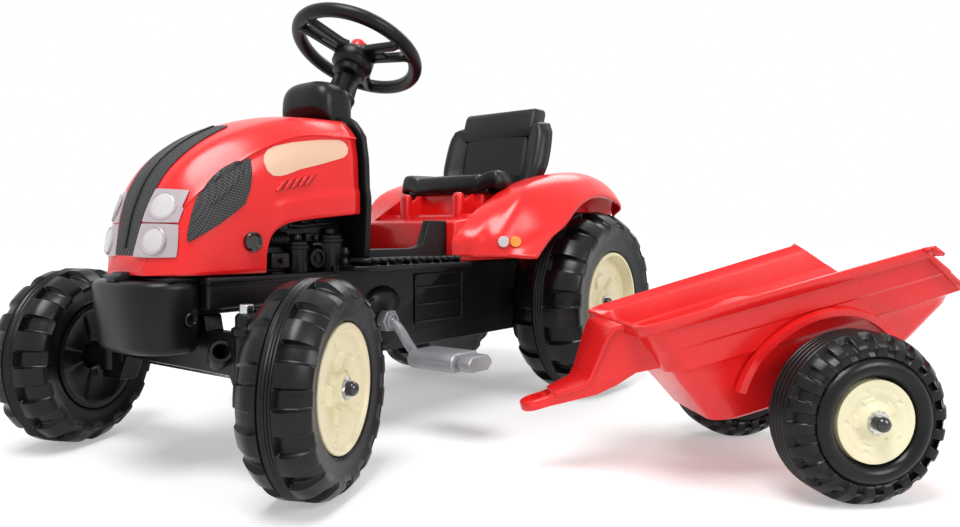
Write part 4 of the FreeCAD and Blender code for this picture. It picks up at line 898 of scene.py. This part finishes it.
def cushionPoint(u, v):
    rear, front, line = picked(seatShape, "rear front seam")
    drop = rolled(u, v, 0.06, 22)
    u, v = rounded(u, v, 0.09)
    across = 2 * v - 1
    aside = abs(across)
    wide = seatShape["half"] * (0.8 + 0.2 * ease(u, 0.2, 0.85) - 0.05 * ease(u, 0.9, 1))
    top = seatShape["low"] + seatShape["thick"] * (0.84 + 0.2 * ease(u, 0, 0.5) - 0.1 * ease(u, 0.86, 1))
    bolster = 5 * ease(aside, line, line + 0.2) * (1 - ease(aside, 0.9, 1.0))
    crown = 3 * (1 - across * across) * math.sin(math.pi * u)
    bow = -7 * across * across * ease(u, 0.7, 1)
    x = rear + (front - rear) * u
    return (x + bow, wide * across, top + bolster + crown - grooves(aside, u, 0.62, 0.03) - 4 - drop)


def backPoint(u, v):
    low, top, line = picked(seatShape, "low backTop seam")
    roll = rolled(u, v, 0.07, 22)
    u, v = rounded(u, v, 0.12)
    across = 2 * v - 1
    aside = abs(across)
    z = low + 4 + (top - low - 4) * u
    wide = seatShape["backHalf"] * (0.92 + 0.08 * ease(u, 0, 0.4) - 0.05 * ease(u, 0.8, 1))
    x = seatShape["rear"] - 30 * u
    bolster = 17 * ease(aside, line - 0.02, 0.86) * (1 - 0.5 * u)
    crown = 4 * (1 - across * across)
    drop = -5 * ease(aside, 0.7, 1.0) * ease(u, 0.7, 1.0)
    return (x + bolster + crown - grooves(aside, u, 0.2, 0.025) - roll, wide * across, z + drop)


def makeSeat():
    cushion, back = woven(72, 96, cushionPoint), woven(72, 96, backPoint)
    thickened(settle("seat_cushion_form", cushion, "seat", ["seat_cushion"], sharp=60), 3)
    settle("seat_pan", brick((60, 150), (-76, 76), (300, 308), 2), "seat", ["seat_cushion"])
    thickened(settle("seat_back_form", back, "seat", ["seat_backrest"], sharp=60), 5)
    half, top = seatShape["headHalf"], seatShape["headTop"]
    outline = [(-5, -52), (27, -52), (26, -38), (16, -6), (10, 0), (-16, 0), (-18, -8)]
    head = slab([(x, top + z) for x, z in outline], "y", -half, half, 6, 4)
    for vert in head.verts:
        vert.co.z -= 5 * (vert.co.y / half) ** 4 * ease(vert.co.z, top - 30, top)
        vert.co.x -= 4 * (vert.co.y / half) ** 2
    settle("seat_head_pad", head, "seat", ["seat_backrest"])


makeSeat()
print("seat")


# Trailer bed: a stepped tub with a rolled rim, an open tail and a gusseted drawbar
bedShape = {
    "spot": (205, 504, 77), "turn": -45.2, "tip": 15.1, "wall": 3, "corner": 20, "sharpCorner": 2.5, "points": 9,
    # height, rear end, front end, half-widths at rear and front
    "levels": ((88, -62, 100, 58, 54), (90, -68, 106, 61, 57), (118, -112, 119, 68, 62), (140, -146, 130, 73.5, 66.5),
               (147, -150, 133, 76, 68), (150, -153, 137, 79, 71), (152, -152, 142, 84, 73), (160, -145, 144, 86, 74),
               (172, -135, 148, 88.5, 75), (174.5, -133, 150, 91, 77), (192, -118, 155, 93.5, 78.5),
               (195, -116, 156, 94, 79), (197, -114.5, 160, 97.5, 82), (200, -112, 163.5, 101, 84.5),
               (203.5, -109, 166, 103.5, 86.5), (202.5, -109, 168, 105, 88), (193, -117, 168, 105, 88)),
    "ledge": 151, "tailLip": 9, "tongue": (262, 225, 15, 8.6, 138, 148),
    "web": ((108, 150), (118, 174), (164, 200), (176, 199), (184, 190), (207, 157), (216, 150), (244, 148),
            (252, 148), (252, 138), (240, 138), (206, 139), (186, 144), (166, 152), (150, 152)),
    "flange": ((164, 196), (176, 197), (184, 188), (207, 155), (216, 148), (244, 146), (244, 150), (217, 152.5),
               (209, 159), (186, 192), (178, 201), (164, 202)),
    # height, half-width of the tub's flank
    "flank": ((88, 58), (118, 67), (140, 72), (150, 77), (176, 88)),
}


def bedRing(level):
    z, back, fore, backHalf, foreHalf = level
    wide, tight, ledge, points = picked(bedShape, "corner sharpCorner ledge points")
    tight = wide if z < ledge else tight
    corners = ((fore - wide, foreHalf - wide, wide), (back + tight, backHalf - tight, tight),
               (back + tight, tight - backHalf, tight), (fore - wide, wide - foreHalf, wide))
    ring = []
    for quarter, (cx, cy, corner) in enumerate(corners):
        for index in range(points):
            angle = math.radians(90 * quarter + 90 * index / (points - 1))
            ring.append((cx + corner * math.cos(angle), cy + corner * math.sin(angle), z))
    return ring


# The drawbar's flat end, round about the hole of its eye
def makeTongue():
    middle, root, wide, hole, low, high = bedShape["tongue"]
    outer, inner = [], []
    for index in range(48):
        angle = 2 * math.pi * index / 48
        along, across = math.cos(angle), math.sin(angle)
        reach = wide
        if along < 0:
            reach = min((middle - root) / max(-along, 0.001), wide / max(abs(across), 0.001))
        outer.append((middle + reach * along, reach * across))
        inner.append((middle + hole * along, hole * across))
    bm = bmesh.new()
    edges = ((inner, low), (outer, low), (outer, high), (inner, high))
    loops = [chain(bm, [(x, y, z) for x, y in line], True) for line, z in edges]
    for here, there in zip(loops, loops[1:] + loops[:1]):
        bmesh.ops.bridge_loops(bm, edges=here + there)
    return softened(bm, loops[1] + loops[2], 2)


# A web of the drawbar, which narrows from the tub to the eye
def makeWeb(outline, wide, fall, rounding, segments):
    web = slab(outline, "y", -1, 1)
    across = [edge for edge in web.edges if abs(edge.verts[0].co.y - edge.verts[1].co.y) > 1]
    bmesh.ops.subdivide_edges(web, edges=across, cuts=1)
    for vert in web.verts:
        vert.co.y *= wide - fall * min(max((vert.co.x - 120) / 132, 0), 1) ** 0.8
    return softened(web, creases(web, 0.6), rounding, segments)


# The rib round a wheel on the side of the tub, whose slope it follows
def makeArch(hand):
    arch = bmesh.new()
    edges = chain(arch, [(87, 0, -4), (92, 0, -4), (95, 0, 2), (93, 0, 8), (87, 0, 10)], True)
    geom = arch.verts[:] + edges
    bmesh.ops.spin(arch, geom=geom, cent=(0, 0, 0), axis=(0, 0, 1), angle=math.radians(132), steps=40)
    bmesh.ops.holes_fill(arch, edges=openEdges(arch))
    arch.transform(shift((0, 0, bedShape["spot"][2])) @ turn(90, "X") @ turn(24, "Z"))
    for vert in arch.verts:
        vert.co.y = hand * (straight(bedShape["flank"], vert.co.z) - vert.co.y)
    return arch


def makeBed():
    spot, ledge, levels = picked(bedShape, "spot ledge levels")
    place = (toFrame @ shift(spot) @ turn(bedShape["turn"], "Z") @ turn(bedShape["tip"], "Y")
             @ shift((0, 0, -spot[2])))
    bm = bmesh.new()
    before = None
    for level in levels:
        edges = chain(bm, bedRing(level), True)
        if before is None:
            bmesh.ops.contextual_create(bm, geom=edges)
        else:
            bmesh.ops.bridge_loops(bm, edges=before + edges)
        before = edges
    # the tail is open over the ledge, with a lip on each side
    backs = [level[:2] for level in levels[5:-1]]
    tail = []
    for face in bm.faces:
        middle = face.calc_center_median()
        if middle.z > ledge and middle.x < straight(backs, middle.z) + bedShape["sharpCorner"]:
            tail.append(face)
    bmesh.ops.delete(bm, geom=tail, context="FACES")
    ends = [edge for edge in openEdges(bm) if all(v.co.x < -100 and v.co.z > ledge for v in edge.verts)
            and abs(edge.verts[0].co.z - edge.verts[1].co.z) > 0.5]
    for vert in cornersIn(bmesh.ops.extrude_edge_only(bm, edges=ends)["geom"]):
        vert.co += Vector((-2, math.copysign(bedShape["tailLip"], vert.co.y), 0))
    thickened(settle("trailer_tub", bm, "red", ["trailer_bed"], place, sharp=32), bedShape["wall"])
    tube = spun([(6.2, -89), (14, -89), (15, -88), (15, 88), (14, 89), (6.2, 89)], 40, True)
    forms = [makeWeb(bedShape["web"], 62, 47, 2.4, 3), makeTongue(), makeWeb(bedShape["flange"], 66, 49, 1.4, 2),
             moved(tube, shift((0, 0, spot[2])) @ turn(90, "X")), brick((-24, 24), (-62, 62), (76, 94), 3),
             makeArch(1), makeArch(-1)]
    settle("trailer_drawbar", joined(*forms), "red", ["trailer_bed"], place)


makeBed()
print("trailer")


# Front bumper: one thick rounded moulding with a latch tab, a lip along its top and two screw rings
bumperShape = {"back": 602, "nose": 663, "half": 67, "low": 124, "high": 195, "rounding": 8, "power": 2.9,
               "tuck": 0.1}


def makeBumper():
    back, nose, half, low, high, power = picked(bumperShape, "back nose half low high power")
    outline = [(back, half - 4)]
    for index in range(1, 25):
        y = half * math.cos(math.pi * index / 25)
        outline.append((back + (nose - back) * (1 - abs(y / half) ** power) ** (1 / power), y))
    outline.append((back, 4 - half))
    bar = slab(outline, "z", low, high)
    softened(bar, creases(bar, 0.9), bumperShape["rounding"], 5)
    for vert in bar.verts:
        tuck = 1 - bumperShape["tuck"] * ease(vert.co.z, low + 26, low)
        vert.co = (back + (vert.co.x - back) * tuck, vert.co.y * tuck, vert.co.z)
    latch = slab([(632, 194), (660, 194), (659, 199), (653, 203), (642, 203), (636, 199)], "y", -9, 9, 1.6)
    lip = slab([(604, 193), (636, 193), (636, 198), (604, 198)], "y", -62, 62, 1.5)
    settle("bumper_form", joined(bar, latch, lip), "black", ["front_bumper"])
    screws = []
    for hand in (1, -1):
        ring = spun([(3, -1), (3.4, 0.6), (4.4, 1.6), (6, 1.6), (7, 0.4), (7, -1)], 32)
        screws.append(moved(ring, shift((616, 66.2 * hand, 158)) @ turn(-90 * hand, "X")))
    settle("bumper_screws", joined(*screws), "black", ["front_bumper"], hides=False)


makeBumper()
print("bumper")


# Dash: a rim that follows the bonnet's rear edge, the cowl and the column's boss
dashShape = {"back": 400.5, "front": 408.5, "grow": 5, "foot": (89, 204), "cowlLean": (414.5, 372, 0.84),
             "cowlAt": (402, 0, 384), "cowlSize": (29, 43, 40), "cowlPower": 3.4, "bossZ": 356}


def makeDash():
    grow, power, bossZ = picked(dashShape, "grow cowlPower bossZ")
    half = [dashShape["foot"]]
    for y, z in hoodSection(0)[2::3]:
        half.append((y + grow * (1 if z < 346 else 0.8), z + grow * ease(z, 340, 372)))
    rim = slab(half + [(-y, z) for y, z in reversed(half)], "x", dashShape["back"], dashShape["front"])
    softened(rim, creases(rim, 0.9), 3)
    cowl = ball(64, 40)
    leanX, leanZ, slope = dashShape["cowlLean"]
    for vert in cowl.verts:
        reach = sum(abs(part) ** power for part in vert.co) ** (1 / power)
        parts = zip(dashShape["cowlAt"], vert.co, dashShape["cowlSize"])
        vert.co = [middle + part / reach * size for middle, part, size in parts]
        # the opened bonnet leans here
        vert.co.x = min(vert.co.x, leanX + slope * (vert.co.z - leanZ))
    boss = [(8.6, 0), (23, 0), (20.5, 14), (19, 50), (18.6, 58), (19.6, 60), (19.6, 64), (18, 66), (16, 90),
            (14.5, 92), (8.6, 92)]
    hubX, _, hubZ = wheelTop["hub"]
    tilt = wheelTop["lean"]
    lean = shift((hubX - (hubZ - bossZ) * math.tan(math.radians(tilt)), 0, bossZ)) @ turn(tilt, "Y")
    settle("dash_form", joined(rim, cowl, moved(spun(boss, 48, True), lean)), "black", ["dash_cowl"])


makeDash()
print("dash")


# Engine relief: what shows through the bonnet's cut-out, with filters, a hose, a pulley, a pipe and covers
engineShape = {
    "back": ((418, 541), (34, 56), (166, 258)),
    # along, out, low, high, radius
    "filters": ((486, 61, 184, 240, 13), (437, 59, 182, 247, 16)),
    "pulley": (464, 64, 213, 11), "pipe": (421, 68, 176, 224, 6), "hose": (501, 527, 60, 234, 8),
    "boxes": (((503, 527), (54, 72), (203, 220)), ((507, 523), (56, 68), (180, 200)),
              ((455, 474), (50, 64), (231, 241)), ((500, 512), (50, 66), (243, 252)),
              ((452, 470), (50, 62), (178, 196)), ((476, 500), (50, 60), (170, 182))),
    "bolts": ((515, 73, 212), (464, 65, 236), (515, 69, 190), (461, 63, 187), (476, 58, 252), (456, 58, 252),
              (493, 58, 250)),
    "lines": (((497, 58, 250), (478, 64, 249), (458, 62, 251), (440, 60, 252)),
              ((464, 62, 228), (452, 66, 226), (448, 62, 200)), ((528, 58, 226), (533, 62, 214), (532, 60, 190))),
}


def canister(radius, low, high):
    neck, band = radius * 0.5, radius + 1.5
    return spun([(0.01, low), (neck, low), (radius * 0.7, low + 3), (radius * 0.72, low + 7),
                 (radius * 0.94, low + 10), (radius, low + 12), (radius, high - 17), (band, high - 16),
                 (band, high - 13), (radius, high - 12), (radius, high - 9), (radius * 0.86, high - 7),
                 (neck, high - 6), (neck, high - 2), (neck * 0.8, high), (0.01, high)], 40)


def makeEngine(label, hand):
    shape = engineShape
    forms = [brick(*shape["back"], 2)] + [brick(*box, 2.2) for box in shape["boxes"]]
    for x, y, low, high, radius in shape["filters"]:
        forms.append(moved(canister(radius, low, high), shift((x, y, 0))))
    x, y, z, radius = shape["pulley"]
    disc = [(0.01, 7), (3, 7), (3.4, 5), (radius * 0.62, 5), (radius * 0.68, 7.6), (radius * 0.94, 7.6),
            (radius, 6.6), (radius, 2.4), (radius * 0.8, 1.6), (radius * 0.8, -6)]
    forms.append(moved(spun(disc, 40), shift((x, y, z)) @ turn(-90, "X")))
    x, y, low, high, radius = shape["pipe"]
    bumps = [(radius * (0.8 + 0.25 * abs(math.sin(math.pi * 4 * t))), low + (high - low) * t)
             for t in [0] + shares(32)]
    forms.append(moved(spun([(0.01, low)] + bumps + [(0.01, high)], 24), shift((x, y, 0))))
    start, end, y, z, radius = shape["hose"]
    rings = [(radius * (0.9 + 0.13 * math.cos(2 * math.pi * 6 * k / 48)), (end - start) * k / 48) for k in range(49)]
    forms.append(moved(spun(rings, 28), shift((start, y, z)) @ turn(90, "Y")))
    for spot in shape["bolts"]:
        bolt = bmesh.new()
        bmesh.ops.create_cone(bolt, cap_ends=True, segments=6, radius1=3.2, radius2=2.8, depth=8)
        forms.append(moved(bolt, shift(spot) @ turn(-90, "X")))
    forms += [swept(line, 2.6, 8, 12) for line in shape["lines"]]
    settle("engine_relief_" + label, handed(joined(*forms), hand), "black", ["engine_" + label])


for label, hand in sides:
    makeEngine(label, hand)
print("engine")


# Chassis sides: the dome over the crank, a framed panel, the foot board's tread, the steering post and the nuts
flankShape = {
    "side": 77.5, "dome": (370, 156), "domeSize": (29, 13, 22), "panel": ((214, 312), (126, 190)), "frame": 3.5,
    "proud": 3, "ribs": (148, 170), "tread": (256, 432), "treadSpan": (91, 112), "treadCount": 13, "boardTop": 209.6,
    "nut": (375, 137), "nutSpan": (86, 99), "nutSize": 14, "boltSize": 7.5, "socket": (597, 84, 124),
    "nose": ((440, 603), (50, 74), (166, 198)), "shelf": ((440, 606), (50, 79), (190, 198)),
    "post": (585, 108), "postFoot": 96, "postTop": 164, "postSize": 11.5,
}


def makeFlank(label, hand):
    shape = flankShape
    side, wide, domeAt, postAt, nutAt = picked(shape, "side frame dome post nut")
    dome = ball(48, 24)
    bmesh.ops.scale(dome, vec=shape["domeSize"], verts=dome.verts)
    forms = [moved(dome, shift((domeAt[0], side, domeAt[1])))]
    (rear, front), (low, high) = shape["panel"]
    bars = [((rear, front), (low, low + wide)), ((rear, front), (high - wide, high)),
            ((rear, rear + wide), (low, high)), ((front - wide, front), (low, high))]
    bars += [((rear, front), (z, z + wide)) for z in shape["ribs"]]
    forms += [brick(x, (side - 1, side + shape["proud"]), z, 1.4) for x, z in bars]
    start, end = shape["tread"]
    count = 2 * shape["treadCount"]
    pitch = (end - start) / shape["treadCount"]
    tread = [(start + pitch * k / 2, shape["treadSpan"][k % 2], shape["boardTop"]) for k in range(count + 1)]
    forms += [swept(tread, 3.2, 6, 12), brick(*shape["nose"], 4), brick(*shape["shelf"], 2.5)]
    wide, foot, top = picked(shape, "postSize postFoot postTop")
    post = [(0.01, foot), (wide - 2, foot), (wide, foot + 3), (wide, top - 22), (wide + 2.5, top - 20),
            (wide + 2.5, top - 14), (wide - 1, top - 12), (wide - 1, top - 3), (wide - 3, top), (0.01, top)]
    forms.append(moved(spun(post, 40), shift((*postAt, 0))))
    socket = spun([(6.5, -14), (6.5, 8), (8, 10), (10.5, 10), (12, 8), (12, -14)], 40, True)
    forms.append(moved(socket, shift(shape["socket"]) @ turn(-60, "X") @ turn(28, "Y")))
    settle("chassis_flank_" + label, handed(joined(*forms), hand), "black", ["chassis_tub"], hides=False)
    bolt = slab(hexagon(shape["boltSize"]), "z", top - 1, top + 9, 1.2)
    moved(bolt, shift((postAt[0], hand * postAt[1], 0)))
    settle("post_bolt_" + label, bolt, "steel", ["kingpins"], hides=False)
    inside, outside = shape["nutSpan"]
    nut = slab(hexagon(shape["nutSize"]), "z", inside, outside, 1.6)
    collar = [(6.4, -1), (6.4, 3), (8.6, 3), (9.6, 2), (9.6, -1)]
    form = joined(nut, spun([(r, outside + z) for r, z in collar], 32, True))
    place = toFrame @ shift((nutAt[0], 0, nutAt[1])) @ turn(-90 * hand, "X")
    settle("crank_nut_" + label, form, "silver", ["crank_bushes"], place, hides=False)


for label, hand in sides:
    makeFlank(label, hand)
print("chassis sides")


# Crank and pedals: a bent round rod, and blocks with a step before their ends
crankShape = {"radius": 6, "shaft": 97, "bend": 14, "pedalIn": 124, "pedalOut": 206}
pedalShape = {"chamfer": 7, "rounding": 2.4, "stepAt": 0.76, "groove": 0.04, "capShare": 0.82}


def makeCrank():
    start, bend, pedalIn, pedalOut = picked(crankShape, "shaft bend pedalIn pedalOut")
    axis = centreOf("crank_bushes")
    hub = ((axis.x - rearAxle.x) / mm, axis.z / mm)
    forms = []
    for label, hand in sides:
        pedal = centreOf("pedal_" + label)
        end = ((pedal.x - rearAxle.x) / mm, pedal.z / mm)
        stops = ((hub, 0), (hub, start - 6), (hub, start), (between(hub, end, 0.22), start + bend * 0.6),
                 (between(hub, end, 0.8), start + bend * 1.1), (end, pedalIn), (end, pedalOut))
        forms.append(swept([(x, hand * out, z) for (x, z), out in stops], crankShape["radius"]))
    settle("crank_form", joined(*forms), "silver", ["crank"])


def makePedal(label, hand):
    origin = Vector((rearAxle.x, rearAxle.y, 0))
    low, high = ((corner - origin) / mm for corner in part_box("pedal_" + label))
    chamfer, rounding, stepAt, groove, cap = picked(pedalShape, "chamfer rounding stepAt groove capShare")
    inner, outer = (low.y, high.y) if hand > 0 else (high.y, low.y)
    step = inner + (outer - inner) * stepAt
    neck = step + (outer - inner) * groove

    def block(share, start, end, rounding):
        x, z = (high.x - low.x) / 2 * share, (high.z - low.z) / 2 * share
        corners = [(x, z - chamfer), (x - chamfer, z), (chamfer - x, z), (-x, z - chamfer), (-x, chamfer - z),
                   (chamfer - x, -z), (x - chamfer, -z), (x, chamfer - z)]
        outline = [((low.x + high.x) / 2 + a, (low.z + high.z) / 2 + b) for a, b in corners]
        return slab(outline, "y", *sorted((start, end)), rounding)

    forms = [block(1, inner, step, rounding), block(0.66, step - hand, neck + hand, 0.5),
             block(cap, neck, outer, rounding)]
    settle("pedal_form_" + label, joined(*forms), "silver", ["pedal_" + label])


makeCrank()
for label, hand in sides:
    makePedal(label, hand)
print("crank")


# Pieces that keep the CAD's form, with rounded edges
plainPieces = {
    "chassis_tub": ("black", 1.6), "rear_axle_bushes": ("black", 0.6), "crank_bushes": ("black", 0.8),
    "front_axle_beam": ("black", 1.6), "kingpins": ("steel", 0.8),
    "hood_hinge_pin": ("steel", 0.3), "marker_lamps_clear": ("lens", 0.8),
    "marker_lamps_amber": ("amber", 0.8),
    "drive_chain": ("darkSteel", 0.2), "tow_hitch": ("black", 1.0), "knuckle_left": ("black", 1.2),
    "knuckle_right": ("black", 1.2), "tie_rod": ("steel", 0.5), "steering_shaft": ("darkSteel", 0.4),
    "rear_axle": ("steel", 0.5), "rear_cog": ("darkSteel", 0.2), "chain_ring": ("darkSteel", 0.2),
    "trailer_axle": ("steel", 0.5),
}
for node, (look, width) in plainPieces.items():
    dressed(node, look, width)
print("plain pieces")


# Stage: white floor, pale surroundings and three large soft lamps
stageShape = {
    "floor": 30, "paper": (0.66, 0.7), "glow": (0.36, 1), "fade": (0.55, 1.6), "world": (0.36, 1), "aim": (0, 0, 0.2),
    # name, place, size, power
    "lamps": (("key", (1.1, 0.3, 2.5), 1.3, 56), ("fill", (0.3, 2.2, 1.4), 1.1, 25),
              ("back", (-1.6, -0.4, 2.0), 1.2, 16)),
}


def grey(value):
    return (value, value, value, 1)


def aimed(thing, place, ahead):
    thing.location = place
    thing.rotation_mode = "QUATERNION"
    thing.rotation_quaternion = ahead.to_track_quat("-Z", "Y")


def makeStage():
    shape = stageShape
    floor = bmesh.new()
    bmesh.ops.create_grid(floor, x_segments=1, y_segments=1, size=shape["floor"])
    mesh = bpy.data.meshes.new("floor")
    floor.to_mesh(mesh)
    floor.free()
    ground = linked("floor", mesh)
    shade = Shade("paper")
    paper = shade.mix(shade.noise(3), *map(grey, shape["paper"]))
    away = shade.band((shade.axis("X") ** 2 + shade.axis("Y") ** 2) ** 0.5, *shape["fade"])
    white = shade.mix(away, *map(grey, shape["glow"]))
    shade.finish(Base_Color=shade.mix(away, paper, grey(0)), Roughness=0.62 + shade.noise(40) * 0.1,
                 Emission_Color=white, Emission_Strength=1.0)
    mesh.materials.append(shade.material)
    for name, place, size, power in shape["lamps"]:
        data = bpy.data.lights.new(name, "AREA")
        data.shape = "DISK"
        data.size = size
        data.energy = power
        aimed(linked(name, data), place, Vector(shape["aim"]) - Vector(place))
    # the surroundings light less than they show
    world = bpy.data.worlds.new("studio")
    bpy.context.scene.world = world
    world.use_nodes = True
    tree = world.node_tree
    path = tree.nodes.new("ShaderNodeLightPath")
    share = tree.nodes.new("ShaderNodeMapRange")
    share.inputs["To Min"].default_value, share.inputs["To Max"].default_value = shape["world"]
    seen = path.outputs["Is Camera Ray"]
    for ray in ("Is Glossy Ray", "Is Transmission Ray"):
        both = tree.nodes.new("ShaderNodeMath")
        both.operation = "MAXIMUM"
        tree.links.new(seen, both.inputs[0])
        tree.links.new(path.outputs[ray], both.inputs[1])
        seen = both.outputs[0]
    tree.links.new(seen, share.inputs["Value"])
    back = tree.nodes["Background"]
    back.inputs["Color"].default_value = grey(1)
    tree.links.new(share.outputs["Result"], back.inputs["Strength"])


photoCamera = {"place": (1016.9, 703.9, 238), "yaw": 216.49, "pitch": -2.154, "focus": 740.14, "pixels": 960,
               "sensor": 36}


def makeCamera():
    data = bpy.data.cameras.new("photo")
    data.sensor_width = photoCamera["sensor"]
    data.lens = photoCamera["focus"] / photoCamera["pixels"] * photoCamera["sensor"]
    data.dof.use_dof = False
    camera = linked("photo", data)
    yaw, pitch = math.radians(photoCamera["yaw"]), math.radians(photoCamera["pitch"])
    ahead = Vector((math.cos(yaw) * math.cos(pitch), math.sin(yaw) * math.cos(pitch), math.sin(pitch)))
    aimed(camera, toFrame @ Vector(photoCamera["place"]), ahead)
    bpy.context.scene.camera = camera


makeStage()
makeCamera()
bpy.context.scene.view_settings.view_transform = "Standard"
print("stage")
